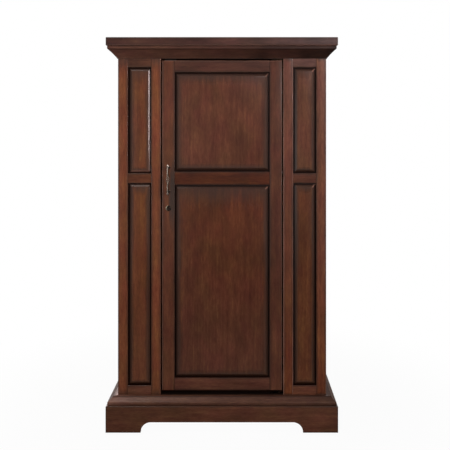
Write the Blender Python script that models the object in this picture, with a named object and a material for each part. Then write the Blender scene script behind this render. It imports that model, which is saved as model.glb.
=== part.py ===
"""Bar cabinet: one tall door between two panelled pilasters, under a cornice and on an arched plinth.

Metres, +Z up. The front faces -Y and the origin is on the floor, under the middle of the cabinet.
"""
import math

import bmesh
import bpy
from mathutils import Vector

# Overall sizes
OVERALL_HEIGHT = 1.5566
OVERALL_DEPTH = 0.508
BODY_WIDTH = 0.832
OVERHANG = 0.0415          # of the top board and the plinth, past the body at the front and the sides
JOINT_GAP = 0.0003         # between pieces that touch
EASE = 0.0015              # radius on the edges of rails and stiles
EASE_STEPS = 2
WELD = 0.000001            # corners closer than this are one

# Top and cornice
TOP_BOARD_THICKNESS = 0.033
TOP_BOARD_EASE = 0.004
CORNICE_HEIGHT = 0.0479
CORNICE_REACH = 0.0365
CORNICE_FASCIA = 0.0125    # height of the upright face under the top board
CORNICE_QUIRK = 0.001      # small step between the fascia and the slope
CORNICE_FOOT = 0.0015      # reach of the slope's lower edge

# Base
PLINTH_HEIGHT = 0.1031
PLINTH_THICKNESS = 0.020
PLINTH_EASE = 0.003
FOOT_WIDTH = 0.137
ARCH_HEIGHT = 0.042
ARCH_RADIUS = 0.040
ARCH_STEPS = 6
DECK_THICKNESS = 0.018
BASE_MOULDING_HEIGHT = 0.0309
BASE_MOULDING_REACH = 0.036
BASE_MOULDING_LEDGE = 0.013
BASE_MOULDING_FILLET = 0.008

# Pilasters, sides and door frames
FRAME_THICKNESS = 0.022
PILASTER_WIDTH = 0.171
OUTER_STILE_WIDTH = 0.0396
INNER_STILE_WIDTH = 0.0384
PILASTER_TOP_RAIL = 0.0346
PILASTER_MID_RAIL = 0.0401
PILASTER_BOTTOM_RAIL = 0.0363
SIDE_THICKNESS = 0.022
SIDE_FRONT_STILE = 0.038
SIDE_REAR_STILE = 0.060
MID_RAIL_HEIGHT = 0.998    # of the middle of every mid rail, above the floor

# Door
DOOR_THICKNESS = 0.022
DOOR_STILE_WIDTH = 0.0498
DOOR_TOP_RAIL = 0.0467
DOOR_MID_RAIL = 0.0523
DOOR_BOTTOM_RAIL = 0.0495
DOOR_SIDE_GAP = 0.0055
DOOR_TOP_GAP = 0.0076
DOOR_BOTTOM_GAP = 0.0172

# Raised panels, as depths behind the face of their frame
PANEL_BACK_DEPTH = 0.018
GROOVE_DEPTH = 0.010
GROOVE_WIDTH = 0.0040
BEVEL_START_DEPTH = 0.0080
BEVEL_WIDTH = 0.0105
BEVEL_STEPS = 3
FIELD_DEPTH = 0.0022

# Carcass and fittings inside
CARCASS_THICKNESS = 0.018
BACK_THICKNESS = 0.006
BACK_INSET = 0.004
SHELF_THICKNESS = 0.018
SHELF_SETBACK = 0.025      # of the shelves' front edges behind the door
COUNTER_TOP = 1.003
BOTTLE_SHELF_TOP = 0.448
STOP_THICKNESS = 0.012
TOP_STOP_HEIGHT = 0.016
BOTTOM_STOP_HEIGHT = 0.026
CATCH_WIDTH = 0.045
CATCH_DEPTH = 0.020
CATCH_HEIGHT = 0.020
CATCH_INSET = 0.015        # from the edge of the doorway
CATCH_PLATE_THICKNESS = 0.0015
CATCH_PLATE_HEIGHT = 0.014

# Wine racks
RACK_DEPTH = 0.220
RACK_RAIL_THICKNESS = 0.018
REAR_RAIL_HEIGHT = 0.050
FRONT_RAIL_HEIGHT = 0.068
RACK_FLOOR_GAP = 0.030
RACK_PITCH = 0.125
BOTTLE_COUNT = 8
BOTTLE_CRADLE_RADIUS = 0.042
BOTTLE_CRADLE_DEPTH = 0.022
NECK_CRADLE_RADIUS = 0.018
NECK_CRADLE_DEPTH = 0.014
CRADLE_STEPS = 7
CLEAT_INSET = 0.002        # of a cleat's lower and upper edge inside the rear rail's

# Stemware rack
STEMWARE_SETBACK = 0.040
STEMWARE_DEPTH = 0.240
STEMWARE_PLATE = 0.012
STEMWARE_CHANNELS = 4
STEMWARE_PITCH = 0.102
STEMWARE_STEM_WIDTH = 0.016
STEMWARE_STEM_HEIGHT = 0.020
STEMWARE_FLANGE_WIDTH = 0.076
STEMWARE_FLANGE_HEIGHT = 0.009

# Pivot hinges
AXIS_INSET = 0.012         # of the door's axis from its hinge edge
LEAF_THICKNESS = 0.003
LEAF_WIDTH = 0.013
LEAF_REACH = 0.028         # from the axis towards the middle of the door
LEAF_MARGIN = 0.001        # at the end of a leaf beside the axis
PIN_RADIUS = 0.003
PIN_CLEARANCE = 0.0003
BOSS_RADIUS = 0.0055
PIVOT_STEPS = 20
HINGE_SWEEP_CLEARANCE = 0.004

# Handle
HANDLE_LENGTH = 0.124
HANDLE_CENTRES = 0.096
HANDLE_HEIGHT = 0.9935     # of its middle, above the floor
HANDLE_STAND = 0.027       # of the bar's middle line in front of the door
HANDLE_BAR_RADIUS = 0.0032
HANDLE_NECK_RADIUS = 0.0026
HANDLE_FINIAL_RADIUS = 0.0048
HANDLE_BASKET_RADIUS = 0.0070
HANDLE_BASKET_LENGTH = 0.030
HANDLE_BASKET_STEPS = 6
HANDLE_POST_RADIUS = 0.0038
HANDLE_POST_TIP_SHARE = 0.6    # of a post's radius that is left where it meets the bar
HANDLE_ROSETTE_RADIUS = 0.0075
HANDLE_ROSETTE_THICKNESS = 0.003
HANDLE_STEPS = 12

# Cam lock
LOCK_HEIGHT = 0.8785
LOCK_FLANGE_RADIUS = 0.011
LOCK_FLANGE_THICKNESS = 0.0025
LOCK_FLANGE_EASE = 0.001
LOCK_BARREL_RADIUS = 0.008
LOCK_BARREL_PROUD = 0.008  # of the barrel behind the door
LOCK_PLUG_RADIUS = 0.005
LOCK_CLEARANCE = 0.0003
LOCK_NUT_ACROSS_FLATS = 0.022
LOCK_NUT_THICKNESS = 0.005
CAM_LENGTH = 0.042
CAM_WIDTH = 0.014
CAM_THICKNESS = 0.0025
LOCK_STEPS = 24

# Places that several pieces share
BODY_HALF = BODY_WIDTH / 2
BACK = OVERALL_DEPTH / 2
BODY_FRONT = OVERHANG - BACK
CORNICE_TOP = OVERALL_HEIGHT - TOP_BOARD_THICKNESS
DOORWAY_TOP = CORNICE_TOP - CORNICE_HEIGHT
LEDGE = PLINTH_HEIGHT + BASE_MOULDING_HEIGHT
BODY_FOOT = PLINTH_HEIGHT + JOINT_GAP
BODY_HEAD = CORNICE_TOP - JOINT_GAP
DOORWAY_HALF = BODY_HALF - PILASTER_WIDTH
FRAME_BACK = BODY_FRONT + FRAME_THICKNESS
SIDE_FRAME_FRONT = FRAME_BACK + JOINT_GAP
INSIDE_HALF = BODY_HALF - SIDE_THICKNESS - JOINT_GAP
BACK_PANEL_FACE = BACK - BACK_INSET - BACK_THICKNESS
INSIDE_BACK = BACK_PANEL_FACE - JOINT_GAP
DOOR_HALF = DOORWAY_HALF - DOOR_SIDE_GAP
DOOR_LOW = LEDGE + DOOR_BOTTOM_GAP
DOOR_HIGH = DOORWAY_TOP - DOOR_TOP_GAP
DOOR_BACK = BODY_FRONT + DOOR_THICKNESS
AXIS_X = DOOR_HALF - AXIS_INSET
AXIS_Y = BODY_FRONT + DOOR_THICKNESS / 2
HARDWARE_X = DOOR_STILE_WIDTH / 2 - DOOR_HALF
CATCH_LEFT = CATCH_INSET - DOORWAY_HALF
MITRE_GAP = JOINT_GAP * math.sqrt(2)

# Colours, roughness and metallic value of each kind of material
FINISHES = {
    "cherry": ((0.110, 0.032, 0.017, 1.0), 0.42, 0.0),
    "cherry_inside": ((0.130, 0.046, 0.025, 1.0), 0.55, 0.0),
    "backing_board": ((0.145, 0.070, 0.040, 1.0), 0.75, 0.0),
    "pewter": ((0.170, 0.145, 0.130, 1.0), 0.38, 1.0),
    "bronze": ((0.060, 0.042, 0.032, 1.0), 0.45, 1.0),
    "steel": ((0.450, 0.450, 0.460, 1.0), 0.35, 1.0),
    "black_plastic": ((0.012, 0.012, 0.012, 1.0), 0.50, 0.0),
}

for old in list(bpy.data.objects):
    bpy.data.objects.remove(old, do_unlink=True)

cabinet = bpy.data.collections.new("bar_cabinet")
cutters = bpy.data.collections.new("cutters")
bpy.context.scene.collection.children.link(cabinet)
bpy.context.scene.collection.children.link(cutters)


def own_material(name, kind):
    """A Principled material for one sub-part."""
    colour, roughness, metallic = FINISHES[kind]
    material = bpy.data.materials.new(name + "_finish")
    material.use_nodes = True
    shader = material.node_tree.nodes["Principled BSDF"]
    shader.inputs["Base Color"].default_value = colour
    shader.inputs["Roughness"].default_value = roughness
    shader.inputs["Metallic"].default_value = metallic
    return material


def axis_empty(name, place, parent=None):
    """An empty on a joint's axis, which carries the pieces that move."""
    empty = bpy.data.objects.new(name, None)
    cabinet.objects.link(empty)
    empty.parent = parent
    empty.location = Vector(place) - world_place(parent)
    return empty


def world_place(thing):
    """The world position of an empty whose parents are not turned."""
    place = Vector()
    while thing is not None:
        place += thing.location
        thing = thing.parent
    return place


def finish_piece(name, bm, kind, parent=None, collection=None):
    """Make an object of a bmesh in world places, with its origin at the middle of its box."""
    bmesh.ops.recalc_face_normals(bm, faces=bm.faces[:])
    if bm.calc_volume(signed=True) < 0:
        bmesh.ops.reverse_faces(bm, faces=bm.faces[:])
    corners = [vert.co for vert in bm.verts]
    low = Vector(min(co[i] for co in corners) for i in range(3))
    high = Vector(max(co[i] for co in corners) for i in range(3))
    middle = (low + high) / 2
    bmesh.ops.translate(bm, verts=bm.verts[:], vec=-middle)
    mesh = bpy.data.meshes.new(name)
    bm.to_mesh(mesh)
    bm.free()
    mesh.materials.append(own_material(name, kind))
    piece = bpy.data.objects.new(name, mesh)
    (collection or cabinet).objects.link(piece)
    piece.parent = parent
    piece.location = middle - world_place(parent)
    return piece


def smooth(piece, angle=math.radians(40)):
    """Shade a round piece smooth, with its sharp corners kept."""
    piece.data.shade_smooth()
    piece.data.set_sharp_from_angle(angle=angle)
    return piece


def block(low, high):
    """A box between two corners."""
    bm = bmesh.new()
    bmesh.ops.create_cube(bm, size=1.0)
    size = Vector(high) - Vector(low)
    bmesh.ops.scale(bm, verts=bm.verts[:], vec=size)
    bmesh.ops.translate(bm, verts=bm.verts[:], vec=(Vector(low) + Vector(high)) / 2)
    return bm


def ease_edges(bm, edges, radius, steps=EASE_STEPS):
    bmesh.ops.bevel(bm, geom=edges, offset=radius, segments=steps, profile=0.5, affect="EDGES")


def board(name, low, high, kind, run="z", face=(0, -1, 0), parent=None, ease=EASE):
    """A board whose edges along run are eased on the side that face points to."""
    bm = block(low, high)
    axis = "xyz".index(run)
    outward = Vector(face)
    middle = (Vector(low) + Vector(high)) / 2
    eased = []
    for edge in bm.edges:
        start, end = (vert.co for vert in edge.verts)
        along = [i for i in range(3) if start[i] != end[i]]
        if along == [axis] and ((start + end) / 2 - middle).dot(outward) > 0:
            eased.append(edge)
    if ease > 0:
        ease_edges(bm, eased, ease)
    return finish_piece(name, bm, kind, parent)


def flat_outline(outlines, thickness):
    """A solid of flat outlines in X and Y, the later ones holes, with thickness about Z = 0."""
    curve = bpy.data.curves.new("outline", "CURVE")
    curve.dimensions = "2D"
    curve.fill_mode = "BOTH"
    curve.extrude = thickness / 2
    for points in outlines:
        spline = curve.splines.new("POLY")
        spline.points.add(len(points) - 1)
        for point, (x, y) in zip(spline.points, points):
            point.co = (x, y, 0, 1)
        spline.use_cyclic_u = True
    drawn = bpy.data.objects.new("outline", curve)
    cutters.objects.link(drawn)
    bpy.context.view_layer.update()
    evaluated = drawn.evaluated_get(bpy.context.evaluated_depsgraph_get())
    mesh = bpy.data.meshes.new_from_object(evaluated)
    bm = bmesh.new()
    bm.from_mesh(mesh)
    bmesh.ops.remove_doubles(bm, verts=bm.verts[:], dist=WELD)
    bpy.data.objects.remove(drawn, do_unlink=True)
    bpy.data.curves.remove(curve)
    bpy.data.meshes.remove(mesh)
    return bm


def moved(bm, place):
    """Send every corner of a bmesh to place(x, y, z)."""
    for vert in bm.verts:
        vert.co = Vector(place(*vert.co))
    return bm


def rectangle(low_x, high_x, low_y, high_y):
    return [(low_x, low_y), (high_x, low_y), (high_x, high_y), (low_x, high_y)]


def circle(radius, steps, centre=(0, 0)):
    turns = [math.tau * i / steps for i in range(steps)]
    return [(centre[0] + radius * math.cos(turn), centre[1] + radius * math.sin(turn)) for turn in turns]


def arc(centre, radius, first, last, steps):
    """Points on an arc from the angle first to the angle last, in degrees."""
    turns = [math.radians(first + (last - first) * i / steps) for i in range(steps + 1)]
    return [(centre[0] + radius * math.cos(turn), centre[1] + radius * math.sin(turn)) for turn in turns]


def turned(profile, steps):
    """A solid turned about Z from (radius, height) points, closed where they meet the axis."""
    bm = bmesh.new()
    verts = [bm.verts.new((radius, 0, height)) for radius, height in profile]
    edges = [bm.edges.new(pair) for pair in zip(verts, verts[1:])]
    if profile[0][0] > 0:
        edges.append(bm.edges.new((verts[-1], verts[0])))
    bmesh.ops.spin(bm, geom=verts + edges, cent=(0, 0, 0), axis=(0, 0, 1), angle=math.tau, steps=steps,
                   use_merge=True)
    bmesh.ops.remove_doubles(bm, verts=bm.verts[:], dist=WELD)
    return bm


def unite(piece, others):
    """Join other shapes onto a piece with Boolean unions."""
    for index, other in enumerate(others):
        shape = finish_piece(f"{piece.name}_joined_{index}", other, "steel", None, cutters)
        shape.hide_render = True
        shape.display_type = "WIRE"
        join = piece.modifiers.new(f"join_{index}", "BOOLEAN")
        join.operation = "UNION"
        join.solver = "EXACT"
        join.object = shape
    return piece


def raised_panel(name, width, height, place, kind, parent=None):
    """A raised panel: a groove round its edge, a hollow bevel and a field nearly flush with the frame.

    place maps (across, depth behind the frame's face, height) to the world.
    """
    half = width / 2
    bm = block((-half, GROOVE_DEPTH, 0), (half, PANEL_BACK_DEPTH, height))
    bm.faces.ensure_lookup_table()
    front = min(bm.faces, key=lambda face: face.calc_center_median().y)
    bmesh.ops.recalc_face_normals(bm, faces=bm.faces[:])
    bmesh.ops.inset_region(bm, faces=[front], thickness=GROOVE_WIDTH, use_even_offset=True)
    step = bmesh.ops.extrude_discrete_faces(bm, faces=[front])
    front = step["faces"][0]
    bmesh.ops.translate(bm, verts=front.verts[:], vec=(0, BEVEL_START_DEPTH - GROOVE_DEPTH, 0))
    rise = BEVEL_START_DEPTH - FIELD_DEPTH
    for index in range(BEVEL_STEPS):
        before = 1 - math.cos(math.pi / 2 * index / BEVEL_STEPS)
        after = 1 - math.cos(math.pi / 2 * (index + 1) / BEVEL_STEPS)
        hollow = (after - before) / 2 + 1 / (2 * BEVEL_STEPS)
        bmesh.ops.inset_region(bm, faces=[front], thickness=BEVEL_WIDTH / BEVEL_STEPS,
                               depth=rise * hollow, use_even_offset=True)
    return finish_piece(name, moved(bm, place), kind, parent)


def openings_of(low, high, bottom_rail, mid_rail, top_rail):
    """The lower and the upper opening of a frame, as (low, high) heights."""
    lower = (low + bottom_rail, MID_RAIL_HEIGHT - mid_rail / 2)
    upper = (MID_RAIL_HEIGHT + mid_rail / 2, high - top_rail)
    return lower, upper


def framed_front(prefix, stiles, rails_low, rails_high, openings, parent=None, thickness=FRAME_THICKNESS):
    """Stiles, rails and raised panels of a frame in the front plane.

    stiles holds (name, low x, high x) of the left and then the right stile.
    """
    back = BODY_FRONT + thickness
    for name, low, high in stiles:
        board(f"{prefix}_{name}", (low, BODY_FRONT, rails_low), (high, back, rails_high), "cherry",
              parent=parent)
    left = stiles[0][2] + JOINT_GAP
    right = stiles[1][1] - JOINT_GAP
    lower, upper = openings
    rails = {"bottom_rail": (rails_low, lower[0]), "mid_rail": (lower[1], upper[0]),
             "top_rail": (upper[1], rails_high)}
    for name, (low, high) in rails.items():
        board(f"{prefix}_{name}", (left, BODY_FRONT, low), (right, back, high), "cherry", run="x",
              parent=parent)
    middle = (left + right) / 2
    for name, (low, high) in {"lower_panel": lower, "upper_panel": upper}.items():
        raised_panel(f"{prefix}_{name}", right - left, high - low - 2 * JOINT_GAP,
                     lambda x, y, z: (middle + x, BODY_FRONT + y, low + JOINT_GAP + z), "cherry", parent)


def pilaster(prefix, side):
    """One of the fixed panelled uprights beside the door."""
    outer = (side * BODY_HALF, side * (BODY_HALF - OUTER_STILE_WIDTH))
    inner = (side * (DOORWAY_HALF + INNER_STILE_WIDTH), side * DOORWAY_HALF)
    stiles = [("outer_stile", *sorted(outer)), ("inner_stile", *sorted(inner))]
    stiles.sort(key=lambda stile: stile[1])
    framed_front(f"{prefix}_pilaster", stiles, BODY_FOOT, BODY_HEAD, PILASTER_OPENINGS)


PILASTER_OPENINGS = openings_of(LEDGE, DOORWAY_TOP, PILASTER_BOTTOM_RAIL, PILASTER_MID_RAIL,
                                PILASTER_TOP_RAIL)


def side_wall(prefix, side):
    """A side of the body: a glued-up frame and two raised panels that face outwards."""
    front = SIDE_FRAME_FRONT + SIDE_FRONT_STILE
    rear = BACK - SIDE_REAR_STILE
    outlines = [rectangle(SIDE_FRAME_FRONT, BACK, BODY_FOOT, BODY_HEAD)]
    outlines += [rectangle(front, rear, low, high) for low, high in PILASTER_OPENINGS]
    middle = side * (BODY_HALF - SIDE_THICKNESS / 2)
    frame = flat_outline(outlines, SIDE_THICKNESS)
    finish_piece(f"{prefix}_side_frame", moved(frame, lambda x, y, z: (middle + z, x, y)), "cherry")
    centre = (front + rear) / 2
    for name, (low, high) in zip(("lower", "upper"), PILASTER_OPENINGS):
        raised_panel(f"{prefix}_side_{name}_panel", rear - front - 2 * JOINT_GAP,
                     high - low - 2 * JOINT_GAP,
                     lambda x, y, z: (side * (BODY_HALF - y), centre + side * x, low + JOINT_GAP + z),
                     "cherry")


def top_board():
    half = BODY_HALF + OVERHANG
    bm = block((-half, -BACK, CORNICE_TOP), (half, BACK, OVERALL_HEIGHT))
    ease_edges(bm, bm.edges[:], TOP_BOARD_EASE, EASE_STEPS + 1)
    finish_piece("top_board", bm, "cherry")


def moulding_set(prefix, profile, kind):
    """Three mitred lengths of a moulding round the front and the sides, from (reach, height) points."""

    def front(reach, height, end):
        return (math.copysign(BODY_HALF + reach, end), BODY_FRONT - reach, height)

    finish_piece(f"{prefix}_front", moved(flat_outline([profile], 1), front), kind)
    for name, side in (("left", -1), ("right", 1)):

        def beside(reach, height, end):
            start = BODY_FRONT - reach + MITRE_GAP
            return (side * (BODY_HALF + reach), BACK if end > 0 else start, height)

        finish_piece(f"{prefix}_{name}", moved(flat_outline([profile], 1), beside), kind)


def cornice():
    low = DOORWAY_TOP
    high = BODY_HEAD
    fascia = CORNICE_TOP - CORNICE_FASCIA
    slope = CORNICE_REACH - CORNICE_QUIRK
    profile = [(JOINT_GAP, low), (CORNICE_FOOT, low), (slope, fascia), (CORNICE_REACH, fascia),
               (CORNICE_REACH, high), (JOINT_GAP, high)]
    moulding_set("cornice", profile, "cherry")


def base_moulding():
    low = PLINTH_HEIGHT + JOINT_GAP
    profile = [(JOINT_GAP, low), (BASE_MOULDING_REACH, low),
               (BASE_MOULDING_REACH, low + BASE_MOULDING_FILLET), (BASE_MOULDING_LEDGE, LEDGE),
               (JOINT_GAP, LEDGE)]
    moulding_set("base_moulding", profile, "cherry")


def arched_outline(low, high):
    """A plinth board's outline between two ends, with a foot at each end and an arch between."""
    foot_left = low + FOOT_WIDTH
    foot_right = high - FOOT_WIDTH
    rise = ARCH_HEIGHT - ARCH_RADIUS
    points = [(low, 0), (foot_left, 0)]
    points += arc((foot_left + ARCH_RADIUS, rise), ARCH_RADIUS, 180, 90, ARCH_STEPS)
    points += arc((foot_right - ARCH_RADIUS, rise), ARCH_RADIUS, 90, 0, ARCH_STEPS)
    points += [(foot_right, 0), (high, 0), (high, PLINTH_HEIGHT), (low, PLINTH_HEIGHT)]
    return points


def plinth():
    """Four boards under the body, mitred at the front corners, and the deck that they hold."""
    outer = BODY_HALF + OVERHANG
    inner = outer - PLINTH_THICKNESS
    board_middle = OVERHANG - PLINTH_THICKNESS / 2

    def eased_outside(bm, distance):
        top = [edge for edge in bm.edges
               if all(vert.co.z > PLINTH_HEIGHT - WELD for vert in edge.verts)
               and all(distance(vert.co) > OVERHANG - WELD for vert in edge.verts)]
        ease_edges(bm, top, PLINTH_EASE)
        return bm

    def front_reach(co):
        return BODY_FRONT - co[1]

    bm = flat_outline([arched_outline(-outer, outer)], PLINTH_THICKNESS)
    moved(bm, lambda x, y, z: (x, BODY_FRONT - board_middle + z, y))
    eased_outside(bm, front_reach)
    for vert in bm.verts:
        if abs(vert.co.x) > outer - WELD:
            vert.co.x = math.copysign(BODY_HALF + front_reach(vert.co), vert.co.x)
    finish_piece("plinth_front", bm, "cherry")

    for name, side in (("left", -1), ("right", 1)):

        def side_reach(co):
            return side * co[0] - BODY_HALF

        bm = flat_outline([arched_outline(-BACK, BACK)], PLINTH_THICKNESS)
        moved(bm, lambda x, y, z: (side * (BODY_HALF + board_middle) + z, x, y))
        eased_outside(bm, side_reach)
        for vert in bm.verts:
            if vert.co.y < WELD - BACK:
                vert.co.y = BODY_FRONT - side_reach(vert.co) + MITRE_GAP
        finish_piece(f"plinth_{name}", bm, "cherry")

    reach = inner - JOINT_GAP
    rear = BACK - PLINTH_THICKNESS
    board("plinth_back", (-reach, rear, 0), (reach, BACK, PLINTH_HEIGHT), "cherry", run="x",
          face=(0, 1, 0))
    front = PLINTH_THICKNESS + JOINT_GAP - BACK
    board("base_deck", (-reach, front, PLINTH_HEIGHT - DECK_THICKNESS),
          (reach, rear - JOINT_GAP, PLINTH_HEIGHT), "cherry_inside", ease=0)


def carcass_board(name, low, high):
    """A full-depth board whose front tongue lies between the pilasters."""
    tongue = DOORWAY_HALF - JOINT_GAP
    shoulder = SIDE_FRAME_FRONT
    outline = [(-tongue, BODY_FRONT), (tongue, BODY_FRONT), (tongue, shoulder), (INSIDE_HALF, shoulder),
               (INSIDE_HALF, INSIDE_BACK), (-INSIDE_HALF, INSIDE_BACK), (-INSIDE_HALF, shoulder),
               (-tongue, shoulder)]
    bm = flat_outline([outline], high - low)
    finish_piece(name, moved(bm, lambda x, y, z: (x, y, (low + high) / 2 + z)), "cherry_inside")


def carcass():
    carcass_board("carcass_top", DOORWAY_TOP, DOORWAY_TOP + CARCASS_THICKNESS)
    carcass_board("carcass_bottom", LEDGE - CARCASS_THICKNESS, LEDGE)
    board("back_panel", (-INSIDE_HALF, BACK_PANEL_FACE, BODY_FOOT),
          (INSIDE_HALF, BACK_PANEL_FACE + BACK_THICKNESS, BODY_HEAD), "backing_board", ease=0)
    for name, top in (("counter_shelf", COUNTER_TOP), ("bottle_shelf", BOTTLE_SHELF_TOP)):
        board(name, (-INSIDE_HALF, DOOR_BACK + SHELF_SETBACK, top - SHELF_THICKNESS),
              (INSIDE_HALF, INSIDE_BACK, top), "cherry_inside", run="x")


def door_stops():
    """Strips behind the door's top and bottom edges, short of where its hinge corner sweeps."""
    right = AXIS_X - math.hypot(AXIS_INSET, DOOR_THICKNESS / 2) - HINGE_SWEEP_CLEARANCE
    left = -DOORWAY_HALF
    front = DOOR_BACK + JOINT_GAP
    rear = front + STOP_THICKNESS
    bottom = LEDGE + JOINT_GAP
    board("door_stop_bottom", (left, front, bottom), (right, rear, bottom + BOTTOM_STOP_HEIGHT),
          "cherry_inside", run="x")
    catch_end = CATCH_LEFT + CATCH_WIDTH + JOINT_GAP
    top = DOORWAY_TOP - JOINT_GAP
    board("door_stop_top", (catch_end, front, top - TOP_STOP_HEIGHT), (right, rear, top),
          "cherry_inside", run="x")


def magnetic_catch(door):
    """A magnet under the carcass top and the steel plate on the door that it holds."""
    right = CATCH_LEFT + CATCH_WIDTH
    plate_front = DOOR_BACK + JOINT_GAP
    plate_back = plate_front + CATCH_PLATE_THICKNESS
    magnet_front = plate_back + JOINT_GAP
    top = DOORWAY_TOP - JOINT_GAP
    board("magnetic_catch", (CATCH_LEFT, magnet_front, top - CATCH_HEIGHT),
          (right, magnet_front + CATCH_DEPTH, top), "black_plastic", run="x")
    plate_low = top - CATCH_HEIGHT
    board("catch_plate", (CATCH_LEFT, plate_front, plate_low - CATCH_PLATE_HEIGHT / 2),
          (right, plate_back, plate_low + CATCH_PLATE_HEIGHT / 2), "steel", parent=door, ease=0)


def cradle_outline(height, radius, depth):
    """A rack rail's outline across X, from its foot at Y = 0, with a cradle for each bottle."""
    pitch = 2 * INSIDE_HALF / BOTTLE_COUNT
    centre_height = height - depth + radius
    spread = math.degrees(math.acos((radius - depth) / radius))
    points = [(-INSIDE_HALF, 0), (INSIDE_HALF, 0), (INSIDE_HALF, height)]
    for index in reversed(range(BOTTLE_COUNT)):
        centre = ((index + 0.5) * pitch - INSIDE_HALF, centre_height)
        points += arc(centre, radius, spread - 90, -spread - 90, CRADLE_STEPS)
    points.append((-INSIDE_HALF, height))
    return points


def wine_rack(name, foot):
    """A front rail for the necks and a rear rail for the bottles, on cleats from stile to stile."""
    front = DOOR_BACK + SHELF_SETBACK + RACK_RAIL_THICKNESS / 2
    rear = front + RACK_DEPTH - RACK_RAIL_THICKNESS
    neck_rail = cradle_outline(FRONT_RAIL_HEIGHT, NECK_CRADLE_RADIUS, NECK_CRADLE_DEPTH)
    bottle_rail = cradle_outline(REAR_RAIL_HEIGHT, BOTTLE_CRADLE_RADIUS, BOTTLE_CRADLE_DEPTH)
    bm = moved(flat_outline([neck_rail], RACK_RAIL_THICKNESS), lambda x, y, z: (x, front + z, foot + y))
    rack = finish_piece(name, bm, "cherry_inside")
    others = [moved(flat_outline([bottle_rail], RACK_RAIL_THICKNESS),
                    lambda x, y, z: (x, rear + z, foot + y))]
    for side in (-1, 1):
        outer = side * INSIDE_HALF
        inner = side * (INSIDE_HALF - RACK_RAIL_THICKNESS)
        others.append(block((min(outer, inner), front, foot + CLEAT_INSET),
                            (max(outer, inner), INSIDE_BACK, foot + REAR_RAIL_HEIGHT - CLEAT_INSET)))
    unite(rack, others)


def wine_racks():
    foot = LEDGE + RACK_FLOOR_GAP
    wine_rack("wine_rack_lower", foot)
    wine_rack("wine_rack_upper", foot + RACK_PITCH)


def stemware_rack():
    """T-shaped rails under the carcass top, which glasses hang from by their feet."""
    span = STEMWARE_CHANNELS * STEMWARE_PITCH + STEMWARE_FLANGE_WIDTH
    stem_top = -STEMWARE_PLATE
    flange_top = stem_top - STEMWARE_STEM_HEIGHT
    flange_foot = flange_top - STEMWARE_FLANGE_HEIGHT
    points = [(-span / 2, 0), (-span / 2, stem_top)]
    for index in range(STEMWARE_CHANNELS + 1):
        middle = (index - STEMWARE_CHANNELS / 2) * STEMWARE_PITCH
        stem = STEMWARE_STEM_WIDTH / 2
        flange = STEMWARE_FLANGE_WIDTH / 2
        points += [(middle - stem, stem_top), (middle - stem, flange_top), (middle - flange, flange_top),
                   (middle - flange, flange_foot), (middle + flange, flange_foot),
                   (middle + flange, flange_top), (middle + stem, flange_top), (middle + stem, stem_top)]
    points += [(span / 2, stem_top), (span / 2, 0)]
    middle_y = DOOR_BACK + STEMWARE_SETBACK + STEMWARE_DEPTH / 2
    top = DOORWAY_TOP - JOINT_GAP
    bm = flat_outline([points], STEMWARE_DEPTH)
    finish_piece("stemware_rack", moved(bm, lambda x, y, z: (x, middle_y + z, top + y)), "cherry_inside")


def leaf_with_hole(name, low_x, high_x, low_z, parent):
    """A hinge leaf on the door, with the hole that the frame's pin turns in."""
    outline = rectangle(low_x, high_x, AXIS_Y - LEAF_WIDTH / 2, AXIS_Y + LEAF_WIDTH / 2)
    hole = circle(PIN_RADIUS + PIN_CLEARANCE, PIVOT_STEPS, (AXIS_X, AXIS_Y))
    bm = flat_outline([outline, hole], LEAF_THICKNESS)
    middle = low_z + LEAF_THICKNESS / 2
    finish_piece(name, moved(bm, lambda x, y, z: (x, y, middle + z)), "bronze", parent)


def upright_pin(radius, low, high):
    profile = [(0, high), (radius, high), (radius, low), (0, low)]
    return moved(turned(profile, PIVOT_STEPS), lambda x, y, z: (AXIS_X + x, AXIS_Y + y, z))


def pivot_hinges(door):
    """Pivot hinges in the gaps over and under the door, which turn on one upright axis."""
    leaf_left = AXIS_X - LEAF_REACH
    leaf_right = DOOR_HALF - LEAF_MARGIN
    frame_right = DOORWAY_HALF - LEAF_MARGIN
    low_y = AXIS_Y - LEAF_WIDTH / 2
    high_y = AXIS_Y + LEAF_WIDTH / 2
    upper_leaf = DOOR_HIGH + JOINT_GAP
    lower_leaf = DOOR_LOW - JOINT_GAP - LEAF_THICKNESS
    leaf_with_hole("upper_door_pivot", leaf_left, leaf_right, upper_leaf, door)
    leaf_with_hole("lower_door_pivot", leaf_left, leaf_right, lower_leaf, door)

    plate_top = DOORWAY_TOP - JOINT_GAP
    plate_low = plate_top - LEAF_THICKNESS
    upper = finish_piece("upper_frame_pivot", block((leaf_left, low_y, plate_low),
                                                    (frame_right, high_y, plate_top)), "bronze")
    overlap = LEAF_THICKNESS / 2
    unite(upper, [upright_pin(PIN_RADIUS, upper_leaf, plate_low + overlap)])

    base_low = LEDGE + JOINT_GAP
    base_top = base_low + LEAF_THICKNESS
    lower = finish_piece("lower_frame_pivot", block((leaf_left, low_y, base_low),
                                                    (frame_right, high_y, base_top)), "bronze")
    boss_top = lower_leaf - PIN_CLEARANCE
    pin_top = lower_leaf + LEAF_THICKNESS
    boss_and_pin = [(0, pin_top), (PIN_RADIUS, pin_top), (PIN_RADIUS, boss_top), (BOSS_RADIUS, boss_top),
                    (BOSS_RADIUS, base_top - overlap), (0, base_top - overlap)]
    shape = moved(turned(boss_and_pin, PIVOT_STEPS), lambda x, y, z: (AXIS_X + x, AXIS_Y + y, z))
    unite(lower, [shape])


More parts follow.
